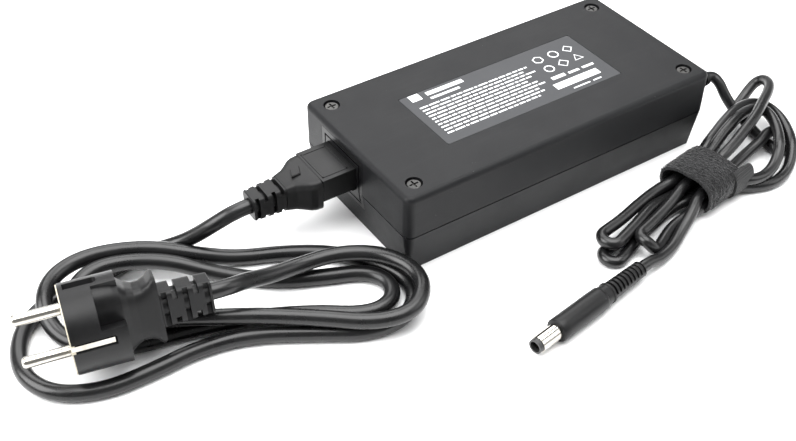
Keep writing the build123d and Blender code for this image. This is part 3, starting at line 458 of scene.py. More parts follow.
CASE_BLACK = Finish("case_black", (0.0060, 0.0062, 0.0070), (0.0085, 0.0087, 0.0095), (0.42, 0.52),
                    specular=0.17, grain_scale=3400.0, grain_depth=0.000035, streak=0.08, dust=0.03)
INLET_BLACK = Finish("inlet_black", (0.004, 0.004, 0.0045), (0.007, 0.007, 0.0075), (0.34, 0.44),
                     specular=0.3)
SCREW_BLACK = Finish("screw_black", (0.03, 0.03, 0.03), (0.08, 0.078, 0.075), (0.30, 0.45), metallic=0.8)
LABEL_GREY = Finish("label_grey", (0.026, 0.027, 0.030), (0.031, 0.032, 0.035), (0.42, 0.50),
                    specular=0.3, grain_scale=5200.0, grain_depth=0.000008)
PRINT_WHITE = Finish("print_white", (0.78, 0.79, 0.80), (0.68, 0.69, 0.70), (0.50, 0.60),
                     grain_depth=0.000004)
CORD_BLACK = Finish("cord_black", (0.0045, 0.0045, 0.0048), (0.0075, 0.0075, 0.0078), (0.25, 0.34),
                    specular=0.42, grain_scale=2400.0, grain_depth=0.000018, blotch_scale=60.0, dust=0.02)
PLUG_BLACK = Finish("plug_black", (0.0045, 0.0045, 0.0048), (0.0075, 0.0075, 0.0078), (0.36, 0.48),
                    specular=0.24, grain_scale=3000.0, grain_depth=0.00004, dust=0.03)
# Painted highlight: this pale ivory colour on the wall plug's face stands in for the bright highlight along its front
# edge.
IVORY = Finish("painted_highlight_rim", (0.55, 0.51, 0.40), (0.46, 0.42, 0.33), (0.40, 0.52))
NICKEL = Finish("nickel", (0.56, 0.54, 0.50), (0.42, 0.40, 0.36), (0.14, 0.28), metallic=1.0,
                grain_scale=900.0, grain_depth=0.000006, blotch_scale=160.0)
LOOP_PILE = LoopPile("loop_pile", (0.005, 0.005, 0.0055), (0.016, 0.016, 0.017), (0.85, 0.98),
                     specular=0.18, sheen=0.22, grain_scale=1700.0, grain_depth=0.0005, dust=0.03)
HOOK_WEAVE = HookWeave("hook_weave", (0.010, 0.010, 0.0105), (0.018, 0.018, 0.019), (0.60, 0.78),
                       specular=0.25, sheen=0.08, grain_depth=0.0004)
BOARD_GREEN = Finish("board_green", (0.02, 0.10, 0.035), (0.03, 0.14, 0.05), (0.30, 0.42))
SHEET_TAN = Finish("sheet_tan", (0.55, 0.50, 0.38), (0.48, 0.43, 0.32), (0.60, 0.75))
SHIELD_METAL = Finish("shield_metal", (0.60, 0.60, 0.61), (0.50, 0.50, 0.51), (0.28, 0.42), metallic=1.0)
FERRITE = Finish("ferrite", (0.035, 0.035, 0.038), (0.055, 0.055, 0.058), (0.45, 0.60))
COPPER = Finish("copper", (0.60, 0.25, 0.09), (0.48, 0.19, 0.07), (0.25, 0.38), metallic=1.0)
FILM_BOX = Finish("film_box", (0.60, 0.45, 0.06), (0.52, 0.38, 0.05), (0.30, 0.42))
DISC_BLUE = Finish("disc_blue", (0.04, 0.12, 0.38), (0.03, 0.10, 0.32), (0.28, 0.40))
CHIP_BLACK = Finish("chip_black", (0.018, 0.018, 0.018), (0.028, 0.028, 0.028), (0.42, 0.55))
CAN_SLEEVE = Finish("can_sleeve", (0.03, 0.025, 0.05), (0.04, 0.035, 0.065), (0.25, 0.35))
FLOOR_WHITE = Finish("floor_white", (0.93, 0.932, 0.935), (0.92, 0.922, 0.925), (0.55, 0.65),
                     specular=0.2, grain_depth=0.0, blotch_scale=3.0)


def dress(name: str, finish: bpy.types.Material) -> None:
    """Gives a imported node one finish.

    Args:
        name: the node.
        finish: its material.
    """
    target = bpy.data.objects[name]
    if not target.data.materials:
        target.data.materials.append(finish)
    for slot in target.material_slots:
        slot.material = finish


# ---- surfaces ----
def mesh_object(name: str, points: np.ndarray, faces: Faces,
                finish: bpy.types.Material, smooth: float = 35.0) -> Piece:
    """Puts computed points and faces into a new object.

    Args:
        name: the piece's name.
        points: vertices in metres, one row each.
        faces: vertex indices of each face.
        finish: the material.
        smooth: faces that meet at less than this many degrees shade as one.

    Returns:
        The linked object.
    """
    mesh = bpy.data.meshes.new(name)
    mesh.from_pydata(points.tolist(), [], faces)
    mesh.materials.append(finish)
    mesh.validate()
    mesh.update()
    mesh.shade_smooth()
    mesh.set_sharp_from_angle(angle=math.radians(smooth))
    piece = bpy.data.objects.new(name, mesh)
    bpy.context.scene.collection.objects.link(piece)
    return piece


def tube_faces(rows: int, columns: int, start: int = 0, caps: bool = True) -> Faces:
    """Lists the quads of a closed tube of rings, with a flat cap at each end.

    Args:
        rows: rings along the tube.
        columns: points round each ring.
        start: index of the first point.
        caps: whether the two ends are closed.

    Returns:
        The faces, pointing outwards where each ring turns anticlockwise seen from its end.
    """
    row, column = np.meshgrid(np.arange(rows - 1), np.arange(columns), indexing="ij")
    after = (column + 1) % columns
    a = start + row * columns + column
    b = start + row * columns + after
    quads = np.stack([a, b, b + columns, a + columns], axis=-1).reshape(-1, 4)
    faces = [tuple(q) for q in quads.tolist()]
    if caps:
        faces.append(tuple(range(start + columns - 1, start - 1, -1)))
        last = start + (rows - 1) * columns
        faces.append(tuple(range(last, last + columns)))
    return faces


def hoop_faces(rows: int, columns: int, start: int = 0) -> Faces:
    """Lists the quads of a tube of rings whose last ring joins its first, as tube_faces does."""
    faces = tube_faces(rows, columns, start, caps=False)
    last = start + (rows - 1) * columns
    for i in range(columns):
        j = (i + 1) % columns
        faces.append((last + i, last + j, start + j, start + i))
    return faces


def super_ring(angle: np.ndarray, half_w: np.ndarray, half_h: np.ndarray, power: np.ndarray) -> tuple:
    """A superellipse |y/w|^p + |z/h|^p = 1 as polar points.

    Args:
        angle: the polar angles.
        half_w: half width along Y, one for each ring.
        half_h: half height along Z, one for each ring.
        power: 2 for an ellipse and more for a squarer ring.

    Returns:
        The Y and Z arrays, rings by angles.
    """
    c = np.cos(angle)[None, :]
    s = np.sin(angle)[None, :]
    w, h, p = half_w[:, None], half_h[:, None], power[:, None]
    radius = (np.abs(c / w) ** p + np.abs(s / h) ** p) ** (-1.0 / p)
    return radius * c, radius * s


def frame_at(place: Triple, degrees: float) -> Matrix:
    """Returns a frame at a place in millimetres, turned about Z."""
    turn = Matrix.Rotation(math.radians(degrees), 4, "Z")
    return Matrix.Translation(tuple(v * MM for v in place)) @ turn


def on_axis(place: Triple, degrees: float, reaches: tuple) -> list:
    """Returns points in metres on a level line from a place in millimetres, at each reach."""
    turn = math.radians(degrees)
    x, y, z = place
    return [((x + r * math.cos(turn)) * MM, (y + r * math.sin(turn)) * MM, z * MM) for r in reaches]


def placed(points: np.ndarray, frame: Matrix) -> np.ndarray:
    """Carries points from a piece's own frame into the shared frame."""
    m = np.array(frame)
    return points @ m[:3, :3].T + m[:3, 3]


class Ringed:
    """A closed surface made of rings of equal count."""

    def faces(self, start: int) -> Faces:
        """Lists its faces, with its first point at the given index."""
        return tube_faces(len(self.rings()), self.columns, start)


@dataclass
class Comb(Ringed):
    """A slotted strain relief: bands of slots that alternate between its sides.

    Along the axis x, each band cuts two opposite sectors of the section, and the next band cuts the
    other two, so that the section stays joined. All sizes are in millimetres.
    """

    start: float
    length: float
    half_w: tuple[float, float]
    half_h: tuple[float, float]
    bands: int
    slot: float
    depth: float
    power: float = 7.0
    opening: float = 1.0
    same_side: bool = False
    columns: int = 96
    lip: float = 0.35
    gap: float = 0.03

    def rings(self) -> np.ndarray:
        """The places of the rings: two close ones at each edge of each slot."""
        pitch = self.length / self.bands
        middles = self.start + (np.arange(self.bands) + 0.5) * pitch
        edges = np.stack([middles - self.slot / 2, middles + self.slot / 2], axis=-1).ravel()
        close = np.stack([edges - self.gap, edges + self.gap], axis=-1).ravel()
        stop = self.start + self.length
        ends = [self.start, self.start + self.lip, stop - self.lip, stop]
        return np.sort(np.concatenate([close, ends]))

    def points(self) -> np.ndarray:
        """Computes the surface: a tapering superellipse, drawn in by depth inside a slot."""
        x = self.rings()
        t = (x - self.start) / self.length
        w = self.half_w[0] + (self.half_w[1] - self.half_w[0]) * t
        h = self.half_h[0] + (self.half_h[1] - self.half_h[0]) * t
        edge = np.minimum(x - self.start, self.start + self.length - x)
        shrink = 0.4 * (1.0 - np.clip(edge / self.lip, 0, 1))
        angle = np.linspace(0, 2 * math.pi, self.columns, endpoint=False)
        y, z = super_ring(angle, w - shrink, h - shrink, np.full_like(x, self.power))
        pitch = self.length / self.bands
        phase = (x - self.start) / pitch
        band = np.clip(np.floor(phase), 0, self.bands - 1)
        inside = np.abs(phase - band - 0.5) * pitch < self.slot / 2
        swap = 0.0 if self.same_side else 1.0
        turned = angle[None, :] + (band[:, None] % 2) * swap * math.pi / 2
        sector = np.abs(np.sin(turned)) > math.cos(self.opening)
        cut = inside[:, None] & sector
        radius = np.hypot(y, z)
        deep = np.minimum(radius, self.depth)
        scale = np.where(cut, deep / radius, 1.0)
        return np.stack([np.broadcast_to(x[:, None], y.shape), y * scale, z * scale], axis=-1).reshape(-1, 3)


@dataclass
class Profile:
    """A solid of superellipse rings along x, in millimetres, smoothed between stations."""

    stations: list[tuple[float, float, float, float]]
    columns: int = 96
    between: int = 6

    def points(self) -> np.ndarray:
        """Interpolates x, half width, half height and power between the stations."""
        table = np.array(self.stations, dtype=float)
        key = np.linspace(0, len(table) - 1, (len(table) - 1) * self.between + 1)
        x, w, h, p = (np.interp(key, np.arange(len(table)), table[:, i]) for i in range(4))
        angle = np.linspace(0, 2 * math.pi, self.columns, endpoint=False)
        y, z = super_ring(angle, w, h, p)
        return np.stack([np.broadcast_to(x[:, None], y.shape), y, z], axis=-1).reshape(-1, 3)

    def faces(self, start: int) -> Faces:
        """Lists its faces, with its first point at the given index."""
        return tube_faces((len(self.stations) - 1) * self.between + 1, self.columns, start)


def joined(name: str, parts: list, frame: Matrix, finish: bpy.types.Material,
           smooth: float = 35.0) -> Piece:
    """Joins several surfaces into one piece.

    Args:
        name: the piece's name.
        parts: objects with points() and faces(start), in millimetres.
        frame: the piece's own frame, in metres.
        finish: the material.
        smooth: the shading angle in degrees.

    Returns:
        The new piece.
    """
    points, faces, count = [], [], 0
    for part in parts:
        cloud = part.points()
        points.append(cloud)
        faces.extend(part.faces(count))
        count += len(cloud)
    return mesh_object(name, placed(np.concatenate(points) * MM, frame), faces, finish, smooth)


@dataclass
class Slab:
    """A box with chamfered top edges, from corner low to corner high, in millimetres."""

    low: Triple
    high: Triple
    bevel: float = 0.0

    def points(self) -> np.ndarray:
        """Its twelve corners as three rings: foot, shoulder and top."""
        (x0, y0, z0), (x1, y1, z1) = self.low, self.high
        b = self.bevel
        rings = [(0.0, z0), (0.0, z1 - b), (b, z1)]
        return np.array([(x, y, z) for inset, z in rings for x, y in (
            (x0 + inset, y0 + inset), (x1 - inset, y0 + inset), (x1 - inset, y1 - inset),
            (x0 + inset, y1 - inset))])

    def faces(self, start: int) -> Faces:
        """Lists its faces, with its first point at the given index."""
        return tube_faces(3, 4, start)


# ---- routes of the two cords, in metres ----
MAINS_ROUTE = [
    (-0.1365, 0.01, 0.026), (-0.1435, 0.01, 0.026), (-0.152, 0.013, 0.021), (-0.1595, 0.019, 0.013),
    (-0.167, 0.0255, 0.0065), (-0.178, 0.0305, 0.0037), (-0.193, 0.03, 0.0036), (-0.209, 0.027, 0.0036),
    (-0.225, 0.026, 0.0036), (-0.239, 0.019, 0.0036), (-0.248, 0.006, 0.0036), (-0.251, -0.01, 0.0036),
    (-0.244, -0.025, 0.0036), (-0.227, -0.034, 0.0036), (-0.206, -0.035, 0.0036),
    (-0.185, -0.034, 0.0036), (-0.164, -0.039, 0.0036), (-0.141, -0.053, 0.0036),
    (-0.121, -0.066, 0.0036), (-0.103, -0.066, 0.0036), (-0.092, -0.056, 0.0036),
    (-0.091, -0.042, 0.0036), (-0.099, -0.027, 0.0036), (-0.112, -0.013, 0.0036),
    (-0.128, -0.003, 0.0036), (-0.147, 0.005, 0.004), (-0.162, 0.013, 0.0075), (-0.177, 0.0235, 0.011),
    (-0.193, 0.032, 0.0112), (-0.209, 0.035, 0.0114), (-0.223, 0.03, 0.0116), (-0.231, 0.019, 0.0106),
    (-0.232, 0.006, 0.0052), (-0.226, -0.006, 0.0036), (-0.21, -0.018, 0.0036),
    (-0.187, -0.0225, 0.0036), (-0.16, -0.03, 0.0036), (-0.136, -0.042, 0.0036),
    (-0.117, -0.056, 0.0036), (-0.103, -0.055, 0.0036), (-0.098, -0.044, 0.0036),
    (-0.104, -0.033, 0.0036), (-0.12, -0.0265, 0.0036), (-0.137, -0.018, 0.0036),
    (-0.15, -0.008, 0.0036), (-0.163, 0.003, 0.006), (-0.176, 0.013, 0.0108), (-0.191, 0.0225, 0.0112),
    (-0.206, 0.026, 0.0112), (-0.218, 0.02, 0.0095), (-0.222, 0.009, 0.005), (-0.217, -0.003, 0.0036),
    (-0.204, -0.011, 0.006), (-0.189, -0.02, 0.011), (-0.174, -0.029, 0.0113), (-0.157, -0.039, 0.011),
    (-0.138, -0.053, 0.011), (-0.12, -0.068, 0.011), (-0.103, -0.0715, 0.0115),
    (-0.091, -0.061, 0.0125), (-0.091, -0.046, 0.013), (-0.1, -0.032, 0.0125), (-0.115, -0.0235, 0.012),
    (-0.131, -0.022, 0.0125), (-0.146, -0.024, 0.016), (-0.157, -0.026, 0.021),
]

DC_EXIT = [(0.1085, -0.0242, 0.02175), (0.113, -0.0242, 0.02175), (0.1145, -0.029, 0.0195),
           (0.1145, -0.034, 0.0145), (0.116, -0.039, 0.0095)]
DC_TAIL = [(0.032, -0.0905, 0.0045), (0.022, -0.0955, 0.003), (0.011, -0.0985, 0.0034)]


def cord_curve(name: str, points: list, diameter: float, finish: bpy.types.Material) -> Piece:
    """Makes a cord as one smooth spline.

    Args:
        name: the piece's name.
        points: the control points, in metres.
        diameter: the cord's diameter, in metres.
        finish: the material.

    Returns:
        The curve object.
    """
    data = bpy.data.curves.new(name, "CURVE")
    data.dimensions = "3D"
    data.resolution_u = 8
    data.bevel_depth = diameter / 2
    data.bevel_resolution = 7
    data.use_fill_caps = True
    spline = data.splines.new("NURBS")
    spline.points.add(len(points) - 1)
    flat = np.concatenate([np.array(points, dtype=float), np.ones((len(points), 1))], axis=1)
    spline.points.foreach_set("co", flat.ravel())
    spline.order_u = 3
    spline.use_endpoint_u = True
    data.materials.append(finish)
    piece = bpy.data.objects.new(name, data)
    bpy.context.scene.collection.objects.link(piece)
    return piece


# ---- sub-assemblies ----
@dataclass
class Case:
    """The closed case: two shells, four screws, the rating label and what lies inside."""

    print_lift: float = 0.04
    inner: dict[str, str] = field(default_factory=lambda: {
        "main_board": "board_green", "controller_board": "board_green", "lower_insulator": "sheet_tan",
        "upper_insulator": "sheet_tan", "heat_shield": "shield_metal", "primary_heatsink": "shield_metal",
        "output_heatsink": "shield_metal", "input_leads": "cord_black", "output_leads": "cord_black",
        "fuse": "chip_black", "filter_choke_core": "ferrite", "pfc_choke_core": "ferrite",
        "transformer_core": "ferrite", "output_ferrite": "ferrite", "filter_choke_winding": "copper",
        "pfc_choke_winding": "copper", "transformer_winding": "copper", "x_capacitor": "film_box",
        "y_capacitors": "disc_blue", "bridge_rectifier": "chip_black",
        "switching_transistors": "chip_black", "output_rectifiers": "chip_black",
        "bulk_capacitor": "can_sleeve", "output_capacitors": "can_sleeve"})

    def dress(self, shelf: Shelf) -> None:
        """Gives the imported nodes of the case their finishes."""
        for name in ("top_shell", "bottom_shell"):
            dress(name, shelf["case_black"])
        dress("case_screws", shelf["screw_black"])
        dress("rating_label", shelf["label_grey"])
        dress("inlet_housing", shelf["inlet_black"])
        for name in ("inlet_line_pin", "inlet_neutral_pin", "inlet_earth_pin"):
            dress(name, shelf["nickel"])
        dress("output_bushing", shelf["plug_black"])
        for name, finish in self.inner.items():
            dress(name, shelf[finish])

    def bars(self) -> list[tuple[float, float, float, float]]:
        """Lists the label's printed bars as X, Y, length and height in millimetres.

        The bars stand for a heading, rows of small print in word-like lengths, and blank panels.
        Word lengths come from a seeded draw.
        """
        draw = np.random.default_rng(7)
        made = [(-46.5, 14.6, 5.6, 5.0), (-37.5, 15.6, 21.0, 2.6), (-37.5, 12.2, 16.5, 1.5)]
        for row in range(10):
            y = 8.4 - row * 2.45
            x = -46.5
            stop = (15.0, 11.0, 16.5, 13.0, 8.0, 12.0, 15.0, 9.0, 12.0, 6.0)[row]
            while x < stop:
                length = float(draw.uniform(1.6, 6.2))
                made.append((x, y, min(length, stop - x + 1.0), 0.95))
                x += length + 0.75
        made += [(17.0, -14.2, 26.5, 4.4), (24.0, -17.6, 10.0, 0.8), (36.0, -17.6, 5.0, 0.8)]
        made += [(38.5, -6.8, 7.0, 1.5), (30.0, -6.8, 6.5, 1.5), (20.0, -6.8, 8.0, 2.2)]
        return made

    def marks(self) -> list[tuple[float, float, float, float, int]]:
        """Lists plain outline shapes as X, Y, outer radius, line width and number of sides."""
        return [(24.5, 1.8, 2.7, 0.6, 40), (33.5, 2.0, 3.2, 0.6, 4), (42.5, 2.0, 3.1, 0.6, 3),
                (24.5, 10.6, 3.0, 0.6, 6), (34.0, 10.6, 2.8, 0.6, 40), (43.0, 10.6, 3.0, 0.6, 4)]

    def build_print(self, shelf: Shelf) -> Piece:
        """Builds the label's print: flat bars and outline shapes a hair above the film."""
        top = float(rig.box("rating_label")[1][2]) / MM
        parts = [Slab((x, y, top - 0.02), (x + long, y + tall, top + self.print_lift))
                 for x, y, long, tall in self.bars()]
        frame = Matrix.Identity(4)
        rings = [FlatRing(x, y, top + self.print_lift, r, w, n) for x, y, r, w, n in self.marks()]
        return joined("label_print", parts + rings, frame, shelf["print_white"], smooth=20.0)

    def build(self, shelf: Shelf) -> None:
        """Dresses the case and adds its print."""
        self.dress(shelf)
        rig.ride(self.build_print(shelf), ADAPTER)


@dataclass
class FlatRing:
    """A thin flat outline with n sides, as a closed strip in millimetres."""

    x: float
    y: float
    top: float
    radius: float
    width: float
    sides: int
    thick: float = 0.06

    def points(self) -> np.ndarray:
        """Its outer and inner rims at two heights, as four rings."""
        angle = 2 * math.pi * np.arange(self.sides) / self.sides + math.pi / 2
        c, s = np.cos(angle), np.sin(angle)
        inner = self.radius - self.width
        foot = self.top - self.thick
        rings = [(self.radius, foot), (self.radius, self.top), (inner, self.top), (inner, foot)]
        return np.concatenate([np.stack([
            self.x + r * c, self.y + r * s, np.full_like(c, z)], axis=-1) for r, z in rings])

    def faces(self, start: int) -> Faces:
        """Lists its faces round the strip and closes the strip underneath."""
        return hoop_faces(4, self.sides, start)


@dataclass
class MainsConnector:
    """The connector in the inlet: its grip with a raised pad and a slotted strain relief."""

    front: float = -105.5
    centre: tuple[float, float] = (10.0, 26.0)
    relief: float = 16.0

    def build(self, shelf: Shelf) -> Piece:
        """Builds the grip.

        Args:
            shelf: the finishes by name.

        Returns:
            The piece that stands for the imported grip.
        """
        frame = frame_at((self.front, *self.centre), 180.0)
        hood = Profile([(0.0, 11.9, 7.9, 9.0), (0.35, 12.3, 8.3, 8.0), (3.2, 12.3, 8.3, 7.0),
                        (5.6, 11.6, 8.2, 6.0), (8.2, 9.7, 8.0, 5.0), (11.0, 7.8, 7.5, 5.0),
                        (14.0, 6.9, 6.9, 5.5), (15.2, 6.5, 6.6, 6.0)])
        comb = Comb(15.0, self.relief, (6.25, 5.6), (6.5, 5.8), 4, 1.75, 4.4, opening=0.95)
        pad = Skewed(Slab((4.8, -2.6, 8.0), (9.4, 2.4, 9.0), 0.35), 0.4)
        grip = joined("connector_grip", [hood, comb, pad], frame, shelf["plug_black"], 32.0)
        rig.ride(grip, MAINS_LEAD)
        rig.slot(grip, "plug_plastic")
        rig.replaces(grip, "c13_grip")
        return grip

    def build_rim(self, shelf: Shelf) -> None:
        """Adds the thin raised border on top of the connector's rigid front."""
        low, high = (np.array(c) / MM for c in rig.box("c13_insert"))
        y0, y1, top = low[1] + 2.2, high[1] - 2.2, high[2]
        x0, x1 = self.front + 1.2, self.front + 14.2
        w, t = 0.7, 0.22
        sides = ((x0, y0, x1, y0 + w), (x0, y1 - w, x1, y1), (x0, y0, x0 + w, y1), (x1 - w, y0, x1, y1))
        parts = [Slab((a, b, top - 0.1), (c, d, top + t), 0.08) for a, b, c, d in sides]
        rim = joined("connector_border", parts, Matrix.Identity(4), shelf["plug_black"])
        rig.ride(rim, MAINS_LEAD)


@dataclass
class Skewed:
    """Another surface sheared along x by its y, for a slanted pad."""

    part: Slab
    amount: float

    def points(self) -> np.ndarray:
        """Moves each point by amount times y along x."""
        cloud = self.part.points().astype(float)
        cloud[:, 0] += self.amount * cloud[:, 1]
        return cloud

    def faces(self, start: int) -> Faces:
        """Lists the part's own faces."""
        return self.part.faces(start)


@dataclass
class PlugShell(Ringed):
    """The wall plug's moulded shell, in millimetres: x from its face, y through the pins.

    The section is a circle up to a step, and a superellipse that narrows to a finger waist and flares
    to two wings beyond it. The step comes sooner in two opposite sectors, which makes the finger rests.
    """

    radius: float = 18.5
    front: float = 0.4
    rest_step: float = 12.6
    full_step: float = 22.4
    waist_end: float = 37.0
    guide_start: float = 2.4
    guide_end: float = 15.4
    columns: int = 288

    def rings(self) -> np.ndarray:
        """The places of the rings, doubled at each step."""
        even = np.arange(self.front + 0.6, self.waist_end - 0.3, 0.45)
        edges = np.array([self.guide_start, self.guide_end, self.rest_step, self.full_step])
        doubles = np.concatenate([edges - 0.06, edges + 0.06])
        ends = [self.front, self.front + 0.15, self.front + 0.35, self.waist_end - 0.25, self.waist_end]
        return np.sort(np.concatenate([even, doubles, ends]))

    def waist(self, x: np.ndarray, angle: np.ndarray) -> np.ndarray:
        """The polar radius of the narrow part, from stations along x."""
        at = [0.0, 12.6, 17.0, 20.0, 22.4, 25.0, 28.0, 31.0, 33.5, 35.6, 37.0]
        tall = np.interp(x, at, [17.6, 17.3, 16.9, 16.4, 15.4, 12.9, 11.4, 11.4, 12.6, 15.0, 14.4])
        deep = np.interp(x, at, [11.0, 10.6, 10.2, 9.8, 9.4, 8.2, 7.3, 6.9, 6.7, 6.6, 6.4])
        power = np.interp(x, [0.0, 22.4, 30.0, 37.0], [3.2, 3.4, 5.0, 6.0])
        y, z = super_ring(angle, tall, deep, power)
        return np.hypot(y, z)

    def points(self) -> np.ndarray:
        """Computes the polar radius over x and angle, with the notches and the clip slots cut in."""
        x = self.rings()
        angle = np.linspace(0, 2 * math.pi, self.columns, endpoint=False)
        grid_x, grid_a = np.meshgrid(x, angle, indexing="ij")
        ease = np.clip((grid_x - self.front) / 0.5, 0, 1)
        disc = self.radius - 0.55 * (1 - np.sqrt(1 - (1 - ease) ** 2 * 0.999))
        turn = np.degrees(grid_a)
        rest = ((turn > 14) & (turn < 74)) | ((turn > 194) & (turn < 254))
        step = np.where(rest, self.rest_step, self.full_step)
        waist = self.waist(x, angle)
        radius = np.where(grid_x < step, disc, np.minimum(waist, disc))
        side_y, side_z = disc * np.cos(grid_a), disc * np.sin(grid_a)
        end = self.guide_end
        round_end = np.sqrt(np.clip(1 - np.clip((grid_x - end + 2.3) / 2.3, 0, 1) ** 2, 0, 1))
        guide = (np.abs(side_z) < 2.3 * round_end) & (grid_x > self.guide_start) & (grid_x < end)
        clip = (np.abs(side_y) < 1.7) & (grid_x < 17.4)
        radius = np.where(guide, np.minimum(radius, self.radius - 2.4), radius)
        radius = np.where(clip, np.minimum(radius, self.radius - 1.75), radius)
        return np.stack([grid_x, radius * np.cos(grid_a), radius * np.sin(grid_a)], axis=-1).reshape(-1, 3)


@dataclass
class WallPlug:
    """The wall plug: its moulded shell with a slotted strain relief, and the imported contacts."""

    face: Triple = (-231.5, -16.5, 26.0)
    yaw: float = -12.0
    roll: float = 73.0
    relief_start: float = 36.8
    relief_length: float = 21.2

    def frame(self) -> Matrix:
        """The plug's frame: x from its face to its cord, y through its pins."""
        return frame_at(self.face, self.yaw) @ Matrix.Rotation(math.radians(self.roll), 4, "X")

    def build(self, shelf: Shelf) -> Piece:
        """Builds the shell and dresses the contacts.

        Args:
            shelf: the finishes by name.

        Returns:
            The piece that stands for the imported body.
        """
        comb = Comb(self.relief_start, self.relief_length, (8.0, 7.2), (6.4, 5.7), 5, 2.1, 4.7,
                    opening=0.98)
        shell = joined("plug_shell", [PlugShell(), comb], self.frame(), shelf["plug_black"], 30.0)
        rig.ride(shell, MAINS_LEAD)
        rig.slot(shell, "plug_plastic")
        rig.replaces(shell, "wall_plug_body")
        # The face takes a pale colour: a painted highlight along the plug's front edge.
        dress("wall_plug_face", shelf["painted_highlight_rim"])
        for name in ("wall_plug_pin_upper", "wall_plug_pin_lower", "wall_plug_earth_clips"):
            dress(name, shelf["nickel"])
        return shell

    def cord_end(self) -> list[Triple]:
        """The last two points of the mains cord, on the plug's axis."""
        return on_axis(self.face, self.yaw, (65.0, 58.0))


@dataclass
class BarrelPlug:
    """The output plug on the floor: plated sleeve, round grip, collar and ribbed boot."""

    tip: Triple = (-70.6, -110.6, 5.4)
    turn: float = 9.0
    grip_start: float = 13.0
    grip_end: float = 42.0
    collar_end: float = 47.0
    boot_end: float = 69.0

    def frame(self) -> Matrix:
        """The plug's frame: x from its tip to its cord."""
        return frame_at(self.tip, self.turn)

    def build(self, shelf: Shelf) -> list[Piece]:
        """Builds the grip and the boot and dresses the contacts.

        Args:
            shelf: the finishes by name.

        Returns:
            The pieces on the cord's end.
        """
        g, e, c, b = self.grip_start, self.grip_end, self.collar_end, self.boot_end
        body = Profile([(g, 4.3, 4.3, 2.0), (g + 0.25, 5.1, 5.1, 2.0), (g + 0.8, 5.4, 5.4, 2.0),
                        (e - 6.0, 5.4, 5.4, 2.0), (e - 0.4, 5.3, 5.3, 2.0), (e, 5.0, 5.0, 2.0),
                        (e + 0.15, 4.75, 4.75, 2.0), (c - 1.2, 4.6, 4.6, 2.0), (c - 1.0, 4.95, 4.95, 2.0),
                        (c - 0.2, 4.95, 4.95, 2.0), (c, 4.5, 4.5, 2.0)])
        boot = Comb(c - 0.1, b - c + 0.1, (4.35, 3.75), (4.35, 3.75), 9, 1.15, 3.2, power=2.0,
                    opening=1.25, same_side=True)
        grip = joined("output_grip", [body], self.frame(), shelf["plug_black"], 40.0)
        ribs = joined("output_boot", [boot], self.frame(), shelf["plug_black"], 40.0)
        for piece, name in ((grip, "dc_plug_grip"), (ribs, "dc_plug_boot")):
            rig.ride(piece, ADAPTER)
            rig.slot(piece, "plug_plastic")
            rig.replaces(piece, name)
        dress("dc_plug_barrel", shelf["nickel"])
        dress("dc_plug_center_pin", shelf["nickel"])
        dress("dc_plug_tip", shelf["chip_black"])
        return [grip, ribs]

    def cord_end(self) -> list[Triple]:
        """The last two points of the output cord, on the plug's axis."""
        return on_axis(self.tip, self.turn, (75.0, 69.0))


